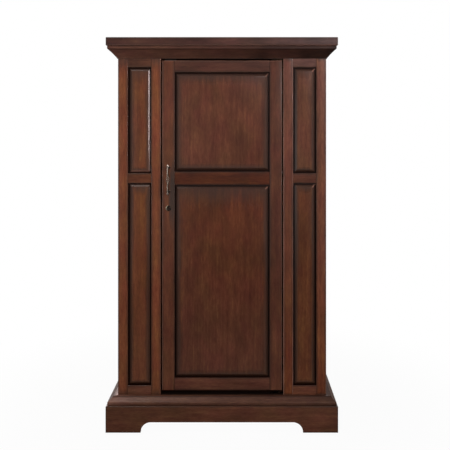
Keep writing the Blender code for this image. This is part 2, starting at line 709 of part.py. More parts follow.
def handle(door):
    """A slender bar pull: two posts, a turned bar with finials and a swollen basket in its middle."""
    end = HANDLE_LENGTH / 2
    shoulder = HANDLE_CENTRES / 2 + HANDLE_BAR_RADIUS
    basket = HANDLE_BASKET_LENGTH / 2
    upper = [(0, end), (HANDLE_FINIAL_RADIUS, (end + shoulder) / 2), (HANDLE_NECK_RADIUS, shoulder),
             (HANDLE_BAR_RADIUS, HANDLE_CENTRES / 2), (HANDLE_NECK_RADIUS, basket)]
    lower = [(radius, -height) for radius, height in reversed(upper)]
    swelling = HANDLE_BASKET_RADIUS - HANDLE_NECK_RADIUS
    middle = []
    for index in range(1, HANDLE_BASKET_STEPS):
        share = index / HANDLE_BASKET_STEPS
        middle.append((HANDLE_NECK_RADIUS + swelling * math.sin(math.pi * share),
                       basket * (1 - 2 * share)))
    bar_y = BODY_FRONT - HANDLE_STAND

    def bar_place(x, y, z):
        return (HARDWARE_X + x, bar_y + y, HANDLE_HEIGHT + z)

    profile = upper + middle + lower
    bar = smooth(finish_piece("door_handle", moved(turned(profile, HANDLE_STEPS), bar_place),
                              "pewter", door))
    foot = JOINT_GAP
    rosette = foot + HANDLE_ROSETTE_THICKNESS
    tip = HANDLE_POST_RADIUS * HANDLE_POST_TIP_SHARE
    post = [(0, HANDLE_STAND), (tip, HANDLE_STAND), (HANDLE_POST_RADIUS, rosette),
            (HANDLE_ROSETTE_RADIUS, rosette), (HANDLE_ROSETTE_RADIUS, foot), (0, foot)]
    posts = []
    for side in (-1, 1):
        height = HANDLE_HEIGHT + side * HANDLE_CENTRES / 2
        posts.append(moved(turned(post, HANDLE_STEPS),
                           lambda x, y, z: (HARDWARE_X + x, BODY_FRONT - z, height + y)))
    unite(bar, posts)


def lock_place(x, y, z):
    """Turn a lock piece made along Z so that it points to the front, on the lock's axis."""
    return (HARDWARE_X + x, -z, LOCK_HEIGHT + y)


def cam_lock(door, lock):
    """A cam lock: barrel and nut on the door's stile, and the plug and cam that turn."""
    face = -BODY_FRONT + JOINT_GAP
    flange = face + LOCK_FLANGE_THICKNESS
    rear = -DOOR_BACK - LOCK_BARREL_PROUD
    bore = LOCK_PLUG_RADIUS + LOCK_CLEARANCE
    eased = LOCK_FLANGE_RADIUS - LOCK_FLANGE_EASE
    housing = [(bore, flange), (eased, flange), (LOCK_FLANGE_RADIUS, flange - LOCK_FLANGE_EASE),
               (LOCK_FLANGE_RADIUS, face), (LOCK_BARREL_RADIUS, face), (LOCK_BARREL_RADIUS, rear),
               (bore, rear)]
    smooth(finish_piece("lock_housing", moved(turned(housing, LOCK_STEPS), lock_place), "pewter", door))

    cam_front = rear - JOINT_GAP
    cam_rear = cam_front - CAM_THICKNESS
    plug_rear = cam_rear - CAM_THICKNESS / 2
    plug = [(0, flange), (LOCK_PLUG_RADIUS, flange), (LOCK_PLUG_RADIUS, plug_rear), (0, plug_rear)]
    smooth(finish_piece("lock_plug", moved(turned(plug, LOCK_STEPS), lock_place), "pewter", lock))

    nut_front = -DOOR_BACK - JOINT_GAP
    nut_middle = nut_front - LOCK_NUT_THICKNESS / 2
    corner = LOCK_NUT_ACROSS_FLATS / math.sqrt(3)
    nut = flat_outline([circle(corner, 6), circle(LOCK_BARREL_RADIUS + LOCK_CLEARANCE, LOCK_STEPS)],
                       LOCK_NUT_THICKNESS)
    finish_piece("lock_nut", moved(nut, lambda x, y, z: lock_place(x, y, nut_middle + z)), "steel", door)

    end_radius = CAM_WIDTH / 2
    tip = end_radius - CAM_LENGTH
    steps = LOCK_STEPS // 4
    outline = arc((0, 0), end_radius, 0, 180, steps) + arc((0, tip), end_radius, 180, 360, steps)
    cam = flat_outline([outline, circle(LOCK_PLUG_RADIUS + LOCK_CLEARANCE, LOCK_STEPS)], CAM_THICKNESS)
    cam_middle = (cam_front + cam_rear) / 2
    finish_piece("lock_cam", moved(cam, lambda x, y, z: lock_place(x, y, cam_middle + z)), "steel", lock)


def drill(piece, cutter_bm):
    """Cut a hole through a piece with a Boolean difference."""
    cutter = finish_piece(piece.name + "_hole", cutter_bm, "steel", None, cutters)
    cutter.hide_render = True
    cutter.display_type = "WIRE"
    cut = piece.modifiers.new("hole", "BOOLEAN")
    cut.operation = "DIFFERENCE"
    cut.solver = "EXACT"
    cut.object = cutter


def door_leaf(door):
    stiles = [("lock_stile", -DOOR_HALF, DOOR_STILE_WIDTH - DOOR_HALF),
              ("hinge_stile", DOOR_HALF - DOOR_STILE_WIDTH, DOOR_HALF)]
    openings = openings_of(DOOR_LOW, DOOR_HIGH, DOOR_BOTTOM_RAIL, DOOR_MID_RAIL, DOOR_TOP_RAIL)
    framed_front("door", stiles, DOOR_LOW, DOOR_HIGH, openings, door, DOOR_THICKNESS)
    radius = LOCK_BARREL_RADIUS + LOCK_CLEARANCE
    ends = (DOOR_THICKNESS - BODY_FRONT, -BODY_FRONT - 2 * DOOR_THICKNESS)
    hole = [(0, ends[0]), (radius, ends[0]), (radius, ends[1]), (0, ends[1])]
    drill(bpy.data.objects["door_lock_stile"], moved(turned(hole, LOCK_STEPS), lock_place))


top_board()
cornice()
carcass()
for side_name, side_sign in (("left", -1), ("right", 1)):
    pilaster(side_name, side_sign)
    side_wall(side_name, side_sign)
plinth()
base_moulding()
door_axis = axis_empty("door_axis", (AXIS_X, AXIS_Y, DOOR_LOW))
lock_axis = axis_empty("lock_axis", (HARDWARE_X, BODY_FRONT, LOCK_HEIGHT), door_axis)
door_leaf(door_axis)
door_stops()
magnetic_catch(door_axis)
pivot_hinges(door_axis)
handle(door_axis)
cam_lock(door_axis, lock_axis)
stemware_rack()
wine_racks()
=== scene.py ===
import math
import random

import bmesh
import bpy
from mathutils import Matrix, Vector


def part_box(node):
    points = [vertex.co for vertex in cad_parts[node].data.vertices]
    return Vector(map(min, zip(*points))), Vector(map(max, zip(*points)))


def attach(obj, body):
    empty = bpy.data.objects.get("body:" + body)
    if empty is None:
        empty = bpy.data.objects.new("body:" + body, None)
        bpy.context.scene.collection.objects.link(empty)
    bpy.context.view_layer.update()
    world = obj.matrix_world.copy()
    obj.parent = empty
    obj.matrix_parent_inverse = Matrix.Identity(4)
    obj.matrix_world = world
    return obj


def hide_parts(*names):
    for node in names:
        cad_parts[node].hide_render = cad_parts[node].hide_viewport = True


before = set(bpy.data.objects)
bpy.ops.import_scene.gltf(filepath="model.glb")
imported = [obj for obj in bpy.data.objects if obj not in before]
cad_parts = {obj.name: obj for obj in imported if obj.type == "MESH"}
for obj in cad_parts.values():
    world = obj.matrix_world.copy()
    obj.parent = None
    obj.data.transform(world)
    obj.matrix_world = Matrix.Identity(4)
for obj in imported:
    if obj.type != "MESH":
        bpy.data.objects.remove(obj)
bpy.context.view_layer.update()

X, Y, Z = range(3)
MM = 0.001
JOINT_GAP = 0.0003
WELD = 0.000001
FAR_AWAY = 9.0             # an edge distance that no rubbing reaches
SMOOTH_ANGLE = math.radians(38)

# The photograph's view
PHOTO_PIXELS = 450
VANISHING_PIXEL = (240, 132)     # where the lines that run away from the camera meet
CAMERA_PLACE = (0.0715, -2.9125, 1.1829)
SENSOR_WIDTH = 36.0
LENS = 54.07

# Edges of the joinery
EASE = 2.1 * MM            # sanded arris of stiles and rails
EASE_STEPS = 4
TOP_EASE = 3 * MM
PLINTH_EASE = 3 * MM
ARCH_EASE = 1.2 * MM

# Raised panels: distance from the edge and depth behind the frame's face, from the groove to the field
GROOVE_WIDTH = 3.3
PANEL_PROFILE = [(0.0, 10.0), (3.3, 10.0), (3.8, 9.8), (4.0, 9.3), (4.0, 8.1), (4.15, 7.9), (4.5, 7.65),
                 (13.2, 3.0), (13.7, 2.7), (13.95, 2.45), (14.2, 2.28), (14.5, 2.2)]
WAX_AND_SHADE_RING = 5               # of the profile's points, the last that lies in the groove of wax and painted shade
BEVEL_LEAN = math.cos(math.atan2(7.65 - 3.0, 13.2 - 4.5))      # of its normal, towards the front
SIDES_AFTER = ((1, 0), (0, 1), (-1, 0), (0, -1))       # of a panel's corners: lower left, lower right ...
SIDES_BEFORE = SIDES_AFTER[-1:] + SIDES_AFTER[:-1]
MITRE_REACH = 5 * MM       # a mitre's painted highlight fades over this length of the bevels beside it
MITRE_CORNER = 7           # of a ring's points, the upper right corner
MITRE_DEPTH = 7.7 * MM     # a mitre's painted highlight ends in the groove here
STEP_DEPTH = 3.1 * MM      # from here to the field the bevel ends in a small step
PANEL_BACK = 18 * MM
FIELD_INSET = PANEL_PROFILE[-1][0] * MM
EVEN = (GROOVE_WIDTH,) * 4

# How far the rubbed-in dark wax reaches from an edge
STILE_RUB = 11 * MM
PILASTER_PANEL_RUB = 13 * MM
DOOR_PANEL_RUB = 22 * MM
BOARD_RUB = 9 * MM
PLINTH_RUB = 7 * MM        # also on the top board
MOULDING_RUB = 3 * MM
WAX_AND_SHADE_FULL = 7.0 * MM        # depth in a groove where the wax and painted shade cover the wood
WAX_AND_SHADE_FROM = 2.5 * MM        # depth where they begin on a bevel of an unlit side
LIT_SIDE_WAX_FROM = 6.2 * MM      # and on a bevel of a lit side, which gets less painted shade
STEP_WAX_AND_SHADE = 0.5             # share of the wood that the wax and painted shade cover on the field's small step

draws = random.Random(17)


# Nodes

def linear(code):
    """An sRGB hex colour as linear RGBA."""
    parts = [int(code[i:i + 2], 16) / 255 for i in (1, 3, 5)]
    return tuple(c / 12.92 if c <= 0.04045 else ((c + 0.055) / 1.055) ** 2.4 for c in parts) + (1.0,)


def feed(tree, node, inputs):
    """Give a node's inputs values, or join them to nodes or sockets."""
    for key, value in inputs.items():
        if isinstance(value, bpy.types.Node):
            value = value.outputs[0]
        if isinstance(value, bpy.types.NodeSocket):
            tree.links.new(value, node.inputs[key])
        else:
            node.inputs[key].default_value = value
    return node


def add(tree, kind, inputs=None, **settings):
    """Add one node to a tree, set it and feed it."""
    node = tree.nodes.new(kind)
    for key, value in settings.items():
        setattr(node, key, value)
    return feed(tree, node, inputs or {})


def calc(tree, operation, *values, **settings):
    """One step of arithmetic on numbers, nodes or sockets."""
    return add(tree, "ShaderNodeMath", dict(enumerate(values)), operation=operation, **settings)


def vector_calc(tree, operation, *values):
    return add(tree, "ShaderNodeVectorMath", dict(enumerate(values)), operation=operation)


def combined(tree, *parts):
    """A vector of up to three parts. Those that aren't given are 0."""
    return add(tree, "ShaderNodeCombineXYZ", dict(enumerate(parts)))


def parts_of(tree, vector):
    return add(tree, "ShaderNodeSeparateXYZ", {0: vector}).outputs


def marked(tree, name):
    """The vector in a piece's own attribute."""
    return add(tree, "ShaderNodeAttribute", attribute_name=name).outputs["Vector"]


def object_place(tree):
    return add(tree, "ShaderNodeTexCoord").outputs["Object"]


def noise(tree, place, scale, detail, roughness=0.5):
    return add(tree, "ShaderNodeTexNoise",
               {"Vector": place, "Scale": scale, "Detail": detail, "Roughness": roughness})


def remap(tree, value, old=(0.0, 1.0), new=(0.0, 1.0), smooth=False):
    """Carry a value from one range to another, and hold it inside."""
    return add(tree, "ShaderNodeMapRange",
               {"Value": value, "From Min": old[0], "From Max": old[1], "To Min": new[0], "To Max": new[1]},
               interpolation_type="SMOOTHSTEP" if smooth else "LINEAR")


def blend(tree, share, first, second):
    """A colour between that of a node or socket and a hex colour."""
    # A colour mix has its sockets after those of the other data types
    return add(tree, "ShaderNodeMix", {0: share, 6: first, 7: linear(second)}, data_type="RGBA").outputs[2]


def bump(tree, height, strength, distance):
    return add(tree, "ShaderNodeBump", {"Strength": strength, "Distance": distance, "Height": height})


def new_material(name):
    material = bpy.data.materials.new(name)
    material.use_nodes = True
    return material, material.node_tree, material.node_tree.nodes["Principled BSDF"]


def ramp(tree, value, stops):
    """A colour ramp through (position, hex colour) stops."""
    node = add(tree, "ShaderNodeValToRGB", {"Fac": value})
    marks = node.color_ramp.elements
    while len(marks) < len(stops):
        marks.new(0.5)
    for mark, (position, code) in zip(marks, stops):
        mark.position = position
        mark.color = linear(code)
    return node


# Grain of cherry in metres: width of a streak across the board and its length along it
STREAK = (14 * MM, 110 * MM)
FLECK = (5 * MM, 22 * MM)
FINE_STREAK = (1.6 * MM, 40 * MM)
PORE = (0.6 * MM, 9 * MM)          # about twice as coarse as real pores, so that close views show them
CLOUD = (60 * MM, 110 * MM)        # patches where the stain took more or less
CLOUD_TONE = 0.16                  # how much lighter or darker it is there
CLOUD_HUE = 0.007                  # and how far its hue turns
RING_WIDTH = 9 * MM                # of the growth rings on a plain-sawn face
RING_PERIOD = math.tau / 20        # of Blender's ring wave at a scale of 1
RING_WANDER = 0.04                 # how fast rings change along the board, as a share of across it
FIGURE = (0.40, 0.34, 0.05, 0.19)  # shares of the streaks, flecks, rings and fine streaks in the figure
UNEVEN = 0.9                       # how far the streaks push the edge of the wax and painted shade about, in their widths
BLUNT = 0.25                       # how far the wax and painted shade round the corners where two edges meet
PAINTED_HIGHLIGHT_COLOUR = "#A37666"             # pinkish painted highlight on arrises, bevels and mitres
PULL_SHADOW_DEPTH = 0.85                        # how dark the painted shadow of the pull is in the middle of its patch
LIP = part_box("left_pilaster_outer_stile")[1].y + 6 * MM   # on a CAD board, what lies in front of it shows in the door's gaps and is painted dark as shadow


def stained_wood(name, stops, wax_and_shade, rub, sheen, roughness, rub_strength=0.6, run=None, burnish=0.0,
                 pull_shadow=None):
    """Stained, waxed and lacquered wood.

    Pieces made here carry their own grain and edge attributes, which also carry painted shade and painted
    highlights. A CAD board gives run, the axis that its grain follows in Object coordinates, and gets a
    painted shadow in front of LIP. burnish is how much smoother the rubbed edges are. pull_shadow is the
    centre and the reach along each axis of a painted shadow of the pull.
    """
    material, tree, shader = new_material(name)
    if run is None:
        grain = marked(tree, "grain")
    else:
        place = parts_of(tree, object_place(tree))
        grain = combined(tree, *[place[axis] for axis in (X, Y, Z) if axis != run], place[run])

    def grain_noise(size, detail, roughness=0.5):
        """Noise in which a feature of that width and length measures one."""
        width, length = size
        drawn_out = vector_calc(tree, "MULTIPLY", grain, (1 / width, 1 / width, 1 / length))
        return noise(tree, drawn_out, 1.0, detail, roughness)

    streaks = grain_noise(STREAK, 4.0, 0.6)
    fine = grain_noise(FINE_STREAK, 3.0, 0.6)
    flecks = grain_noise(FLECK, 2.0, 0.55)
    clouds = grain_noise(CLOUD, 2.0)
    pores = grain_noise(PORE, 1.0)
    rings = add(tree, "ShaderNodeTexWave",
                {"Vector": vector_calc(tree, "MULTIPLY", grain, (1.0, 1.0, RING_WANDER)),
                 "Scale": RING_PERIOD / RING_WIDTH, "Distortion": 5.0, "Detail": 2.0, "Detail Scale": 0.45,
                 "Detail Roughness": 0.55}, wave_type="RINGS", rings_direction="Z").outputs["Fac"]
    figure = calc(tree, "MULTIPLY", streaks, FIGURE[0])
    for part, share in zip((flecks, rings, fine), FIGURE[1:]):
        figure = calc(tree, "MULTIPLY_ADD", part, share, figure)

    lightness, hue, saturation = parts_of(tree, marked(tree, "tone"))
    brightness = remap(tree, clouds, (0.25, 0.75), (1 - CLOUD_TONE, 1 + CLOUD_TONE))
    brightness = calc(tree, "ADD", brightness, lightness)
    other_clouds = add(tree, "ShaderNodeSeparateColor", {0: clouds.outputs["Color"]}).outputs[1]
    warmth = remap(tree, other_clouds, (0.3, 0.7), (0.5 - CLOUD_HUE, 0.5 + CLOUD_HUE))
    warmth = calc(tree, "ADD", warmth, hue)
    toned = add(tree, "ShaderNodeHueSaturation",
                {"Hue": warmth, "Saturation": calc(tree, "ADD", saturation, 1.0), "Value": brightness,
                 "Color": ramp(tree, figure, stops)})

    near, far = [parts_of(tree, marked(tree, key)) for key in ("near", "far")]
    across, along = [calc(tree, "MINIMUM", near[i], far[i]) for i in (0, 1)]
    uneven = calc(tree, "MULTIPLY_ADD", streaks, UNEVEN, -UNEVEN / 2)
    distance = calc(tree, "ADD", calc(tree, "SMOOTH_MIN", across, along, BLUNT), uneven)
    # Rubbed-in wax at the edges, with painted shade at the ends of the stiles and the tops of the panels
    rubbed_and_shaded = remap(tree, distance, (-0.1, 1.0), (rub_strength, 0.0), smooth=True)
    # A painted shadow of the pull, on the lock stile to its right and below it
    if pull_shadow:
        centre, reach = pull_shadow
        off = vector_calc(tree, "SUBTRACT", object_place(tree), centre)
        off = vector_calc(tree, "DIVIDE", off, reach)
        off = vector_calc(tree, "LENGTH", off).outputs["Value"]
        pull_shadow_share = remap(tree, calc(tree, "ADD", off, uneven), (0.3, 1.1), (PULL_SHADOW_DEPTH, 0.0), smooth=True)
        rubbed_and_shaded = calc(tree, "MAXIMUM", rubbed_and_shaded, pull_shadow_share)
    ticks = remap(tree, pores, (0.60, 0.72), (0.0, 0.35))
    # Wax and painted shade in the grooves; on a CAD board, a painted shadow in front of LIP
    hidden = near[2] if run is None else remap(tree, place[Y], (LIP, LIP + MM), (1.0, 0.0))
    covered = calc(tree, "MAXIMUM", hidden, ticks)
    # Painted highlights on arrises, bevels, mitres and the base moulding's left end, in a pinkish colour
    painted_highlight = calc(tree, "MULTIPLY", far[2], remap(tree, streaks, (0.35, 0.6), (0.55, 1.0)))
    colour = blend(tree, rubbed_and_shaded, toned, rub)
    colour = blend(tree, painted_highlight, colour, PAINTED_HIGHLIGHT_COLOUR)
    colour = blend(tree, covered, colour, wax_and_shade)

    low, high = roughness
    satin = remap(tree, figure, (0.3, 0.7), (high, low))
    smoothed = calc(tree, "MULTIPLY_ADD", rubbed_and_shaded, -burnish, satin)
    relief = calc(tree, "MULTIPLY_ADD", ticks, -0.8, figure)
    feed(tree, shader, {"Base Color": colour, "Roughness": calc(tree, "MULTIPLY_ADD", covered, 0.3, smoothed),
                        "Normal": bump(tree, relief, 0.10, 0.2 * MM), "Specular IOR Level": sheen})
    return material


def worn_metal(name, bright, dark, roughness, patch, brushed=None, highlight_colour=None):
    """Metal with darker patches of patina, brushed along an axis if one is given.

    highlight_colour is the colour of a painted highlight, from the piece's own worn attribute.
    """
    material, tree, shader = new_material(name)
    place = object_place(tree)
    cover = remap(tree, noise(tree, place, 1 / patch, 5.0, 0.65), (0.38, 0.62))
    surface = ramp(tree, cover, [(0.0, bright), (1.0, dark)])
    if highlight_colour:
        worn = add(tree, "ShaderNodeAttribute", attribute_name="worn").outputs["Fac"]
        broken = calc(tree, "MULTIPLY_ADD", cover, -0.5, worn, use_clamp=True)
        surface = blend(tree, broken, surface, highlight_colour)
    if brushed is None:
        lines = noise(tree, place, 8 / patch, 3.0)
    else:
        scale = [1 / (0.4 * MM)] * 3
        scale[brushed] = 1 / (12 * MM)
        lines = noise(tree, vector_calc(tree, "MULTIPLY", place, scale), 1.0, 3.0)
    feed(tree, shader, {"Base Color": surface, "Roughness": remap(tree, cover, new=roughness),
                        "Normal": bump(tree, lines, 0.25, 0.1 * MM), "Metallic": 1.0})
    return material


def moulded_plastic(name, code, roughness):
    """ABS from a spark-eroded mould: even colour with a fine matt grain."""
    material, tree, shader = new_material(name)
    grit = noise(tree, object_place(tree), 1 / (0.5 * MM), 2.0)
    colour = add(tree, "ShaderNodeHueSaturation",
                 {"Value": remap(tree, grit, new=(0.9, 1.1)), "Color": linear(code)})
    feed(tree, shader, {"Base Color": colour, "Roughness": roughness,
                        "Normal": bump(tree, grit, 0.3, 0.05 * MM)})
    return material


# Alder and cherry veneer under a dark cherry stain, hand-rubbed wax and satin lacquer: fine straight grain,
# soft streaks and a sheen that only the lamps wake
CHERRY = {"stops": [(0.34, "#582F1D"), (0.45, "#663923"), (0.54, "#704129"), (0.66, "#80502F")],
          "wax_and_shade": "#180601", "rub": "#382E28", "rub_strength": 0.62}
SATIN = {"sheen": 0.14, "roughness": (0.27, 0.35), "burnish": 0.34}
cherry = stained_wood("cherry_stained_satin_lacquer", **CHERRY, **SATIN)

# The same on the lock stile, with the pull's shadow painted beside the pull
PULL_LOW, PULL_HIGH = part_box("door_handle")
PULL_SHADOW_PATCH = ((PULL_LOW.x + 26 * MM, PULL_LOW.y, (PULL_LOW.z + PULL_HIGH.z) / 2 - 65 * MM),
          (24 * MM, 900 * MM, 185 * MM))
cherry_pull_shadowed = stained_wood("cherry_stained_pull_shadow", **CHERRY, **SATIN, pull_shadow=PULL_SHADOW_PATCH)

# The same on the right of the base, where the lacquer has dulled
cherry_dull = stained_wood("cherry_stained_dull", **CHERRY, sheen=0.05, roughness=(0.40, 0.48))

# Brown-black wax with painted shade in the grooves: it hides the wood and hardly shines
WAX_AND_SHADE_STOPS = [(0.34, "#220C03"), (0.50, "#2A0F04"), (0.72, "#331406")]
groove_wax_and_shade = stained_wood("cherry_wax_and_shade_groove", WAX_AND_SHADE_STOPS, "#1C0802", "#1C0802", 0.0, (0.6, 0.7))

# The same stain thinner and under one coat inside: a little lighter and duller
INSIDE_STOPS = [(0.33, "#55301F"), (0.50, "#683D29"), (0.70, "#7A4A31")]
cherry_inside = stained_wood("cherry_stained_inside", INSIDE_STOPS, "#1E0D07", "#432A20", 0.18,
                             (0.42, 0.52), 0.4)
cherry_inside_board = stained_wood("cherry_stained_board", INSIDE_STOPS, "#120602", "#432A20", 0.12,
                                   (0.42, 0.52), 0.0, X)

# Thin stained plywood: flat, open-grained and nearly matt
BACKING_STOPS = [(0.33, "#5E3A26"), (0.50, "#6A4229"), (0.70, "#764C31")]
backing = stained_wood("plywood_stained_matt", BACKING_STOPS, "#2A160D", "#432A20", 0.15, (0.6, 0.72),
                       0.0, Z)

# Cast and burnished pewter: grey over a brown-black patina, with a pale painted highlight on its left
pewter = worn_metal("pewter_cast_aged", "#443B34", "#1F1713", (0.2, 0.34), 5 * MM, None, "#BDB1A5")
dark_pewter = worn_metal("pewter_cast_blackened", "#332B26", "#1A1411", (0.2, 0.34), 5 * MM, None,
                         "#B5AA90")

# Oil-rubbed bronze plate: almost black
bronze = worn_metal("bronze_oil_rubbed", "#241A13", "#120D0A", (0.36, 0.5), 6 * MM, X)

# Zinc-plated steel: pale, brushed, with cloudy plating
steel = worn_metal("steel_zinc_plated", "#B9B8B4", "#8F908F", (0.28, 0.4), 9 * MM, Z)

# Poplar painted black-brown: painted shadow in the gaps round the door
GAP_SHADOW_STOPS = [(0.33, "#160A06"), (0.50, "#1E0F09"), (0.70, "#29160E")]
painted_gap_shadow = stained_wood("poplar_painted_gap_shadow", GAP_SHADOW_STOPS, "#120602", "#150703", 0.05, (0.6, 0.7),
                          0.0, X)

black_plastic = moulded_plastic("abs_moulded_black", "#151515", 0.6)


# Shapes

def block(low, high):
    bm = bmesh.new()
    bmesh.ops.create_cube(bm, size=1.0)
    low, high = Vector(low), Vector(high)
    for vert in bm.verts:
        vert.co = Vector(low[i] + (vert.co[i] + 0.5) * (high[i] - low[i]) for i in range(3))
    return bm


def round_over(bm, edges, radius, steps=EASE_STEPS):
    bmesh.ops.bevel(bm, geom=list(edges), offset=radius, segments=steps, profile=0.5, affect="EDGES",
                    clamp_overlap=True)
    return bm


def moved(bm, place):
    """Send every corner of a bmesh to place(x, y, z)."""
    for vert in bm.verts:
        vert.co = Vector(place(*vert.co))
    return bm


def turned(profile, steps, closed=False):
    """A solid turned about Z. Its (radius, height) points end on the axis, or close a ring."""
    bm = bmesh.new()
    verts = [bm.verts.new((radius, 0, height)) for radius, height in profile]
    ends = verts[1:] + (verts[:1] if closed else [])
    edges = [bm.edges.new(pair) for pair in zip(verts, ends)]
    bmesh.ops.spin(bm, geom=verts + edges, cent=(0, 0, 0), axis=(0, 0, 1), angle=math.tau, steps=steps,
                   use_merge=True)
    bmesh.ops.remove_doubles(bm, verts=bm.verts[:], dist=WELD)
    return bm


def filled(points):
    """A flat face in local X and Z."""
    bm = bmesh.new()
    bm.faces.new([bm.verts.new((x, 0, z)) for x, z in points])
    return bm


def arc(centre, radius, first, last, steps):
    turns = [math.radians(first + (last - first) * i / steps) for i in range(steps + 1)]
    return [(centre[0] + radius * math.cos(turn), centre[1] + radius * math.sin(turn)) for turn in turns]


def at(corner, offsets):
    """Points at (across, up) offsets from a corner, in mm."""
    return [(corner[0] + across * MM, corner[1] + up * MM) for across, up in offsets]


def new_mesh(name, bm):
    mesh = bpy.data.meshes.new(name)
    bm.to_mesh(mesh)
    bm.free()
    return mesh


def new_object(name, data):
    made = bpy.data.objects.new(name, data)
    bpy.context.scene.collection.objects.link(made)
    return made


def joined(parts):
    """One bmesh of several."""
    whole = bmesh.new()
    for part in parts:
        mesh = new_mesh("part", part)
        whole.from_mesh(mesh)
        bpy.data.meshes.remove(mesh)
    return whole


def shade(mesh):
    """Shade the rounded faces smooth and leave the flat sides of the piece flat."""
    for polygon in mesh.polygons:
        polygon.use_smooth = max(abs(part) for part in polygon.normal) < 0.9999
    mesh.set_sharp_from_angle(angle=SMOOTH_ANGLE)


def make_piece(name, bm, body, material, stands_for=()):
    """Make an object of a bmesh in world places, and let it ride on a body."""
    bmesh.ops.recalc_face_normals(bm, faces=bm.faces[:])
    mesh = new_mesh(name, bm)
    mesh.materials.clear()
    mesh.materials.append(material)
    shade(mesh)
    piece = new_object(name, mesh)
    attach(piece, body)
    if stands_for:
        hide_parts(*stands_for)
    return piece


def mark(mesh, name, kind, domain, values):
    """Give a mesh an attribute."""
    marks = mesh.attributes.new(name, kind, domain)
    marks.data.foreach_set("value" if kind == "FLOAT" else "vector", values)


def lay_grain(piece, run, depth, tone=(0, 0, 0), pith=None, painted_light_fade=(0, 0)):
    """Give a piece its own stretch of grain along the axis run, and its tone.

    tone is lightness, hue and saturation, as changes, and painted_light_fade is how much darker and how
    much greyer the board is at the far end of its run than at the near end, as painted shade and sheen. pith
    is how far the middle of the tree lay to one side of the board and behind it.
    """
    mesh = piece.data
    low, high = limits(mesh)
    across = 3 - run - depth
    centre = [(low[i] + high[i]) / 2 for i in range(3)]
    side, behind = pith or (draws.uniform(-60, 60) * MM, draws.uniform(50, 140) * MM)
    along = draws.uniform(0, 50)
    places, tones = [], []
    for vert in mesh.vertices:
        co = vert.co
        places += [co[across] - centre[across] + side, co[depth] - centre[depth] + behind, co[run] + along]
        left = 0.5 - (co[run] - low[run]) / (high[run] - low[run])
        tones += [tone[0] + painted_light_fade[0] * left, tone[1], tone[2] + painted_light_fade[1] * left]
    mark(mesh, "grain", "FLOAT_VECTOR", "POINT", places)
    mark(mesh, "tone", "FLOAT_VECTOR", "POINT", tones)


def limits(mesh):
    corners = [vert.co for vert in mesh.vertices]
    low = Vector(min(co[i] for co in corners) for i in range(3))
    high = Vector(max(co[i] for co in corners) for i in range(3))
    return low, high


def mark_rub_shade_and_highlights(piece, width, run=None, wax_and_shade=None, low=None, high=None, ends=None, painted_highlight=None, show=None):
    """Mark each face's distance from the edges of its piece, in widths of the rubbed-in wax and painted shade.

    ends gives the widths of the wax and painted shade at the low and high end of the axis run, which has
    none without it. wax_and_shade(place, normal) gives how much wax and painted shade lies in a groove,
    painted_highlight(place, normal) how strong a painted highlight is. show is the (axis, sign) of the
    show side, where only that side is rubbed.
    """
    mesh = piece.data
    if low is None:
        low, high = limits(mesh)
    near, far = [], []
    for polygon in mesh.polygons:
        normal = polygon.normal
        flat_axes = [axis for axis in range(3) if axis != axis_of(normal)]
        behind = show is not None and normal[show[0]] * show[1] < -0.5
        for index in polygon.vertices:
            co = mesh.vertices[index].co
            for axis in flat_axes:
                low_width, high_width = (ends or (0, 0)) if axis == run else (width, width)
                if behind:
                    low_width = high_width = 0
                near.append((co[axis] - low[axis]) / low_width if low_width else FAR_AWAY)
                far.append((high[axis] - co[axis]) / high_width if high_width else FAR_AWAY)
            near.append(wax_and_shade(co, normal) if wax_and_shade else 0.0)
            far.append(painted_highlight(co, normal) if painted_highlight else 0.0)
    mark(mesh, "near", "FLOAT_VECTOR", "CORNER", near)
    mark(mesh, "far", "FLOAT_VECTOR", "CORNER", far)


def axis_of(direction):
    return max(range(3), key=lambda axis: abs(direction[axis]))


def wax_and_shade_share(depth, start):
    """How much of the wood the wax and painted shade cover at a depth in a groove."""
    share = (depth - start) / (WAX_AND_SHADE_FULL - start)
    return min(max(share, 0.0), 1.0)


# Geometry trees

def geometry_tree(name, floats, ints=(), bools=()):
    """A geometry tree with named inputs: its own geometry, its sizes and its material."""
    tree = bpy.data.node_groups.new(name, "GeometryNodeTree")
    inputs = [("Geometry", ("Geometry",)), ("Float", floats), ("Int", ints), ("Bool", bools),
              ("Material", ("Material",))]
    for kind, labels in inputs:
        for label in labels:
            tree.interface.new_socket(label, in_out="INPUT", socket_type="NodeSocket" + kind)
    tree.interface.new_socket("Geometry", in_out="OUTPUT", socket_type="NodeSocketGeometry")
    return tree, tree.nodes.new("NodeGroupInput").outputs


def close_tree(tree, given, geometry):
    """End a tree in real meshes with their material."""
    real = add(tree, "GeometryNodeRealizeInstances", {0: geometry})
    done = add(tree, "GeometryNodeSetMaterial", {"Geometry": real, "Material": given["Material"]})
    add(tree, "NodeGroupOutput", {"Geometry": done})
    return tree


def thickened(tree, sheet, offset):
    """A closed solid between a sheet and its copy at an offset."""
    swept = add(tree, "GeometryNodeExtrudeMesh", {"Mesh": sheet, "Offset": offset, "Offset Scale": 1.0,
                                                  "Individual": False})
    cap = add(tree, "GeometryNodeFlipFaces", {0: sheet})
    both = add(tree, "GeometryNodeJoinGeometry")
    for part in (swept, cap):
        tree.links.new(part.outputs[0], both.inputs[0])
    return add(tree, "GeometryNodeMergeByDistance", {"Geometry": both, "Distance": WELD})


def flattened(made):
    """An object with its modifiers applied, as a bmesh. The object itself is removed."""
    bpy.context.view_layer.update()
    mesh = bpy.data.meshes.new_from_object(made.evaluated_get(bpy.context.evaluated_depsgraph_get()))
    bm = bmesh.new()
    bm.from_mesh(mesh)
    made.modifiers.clear()
    bpy.data.objects.remove(made, do_unlink=True)
    bpy.data.meshes.remove(mesh)
    return bm


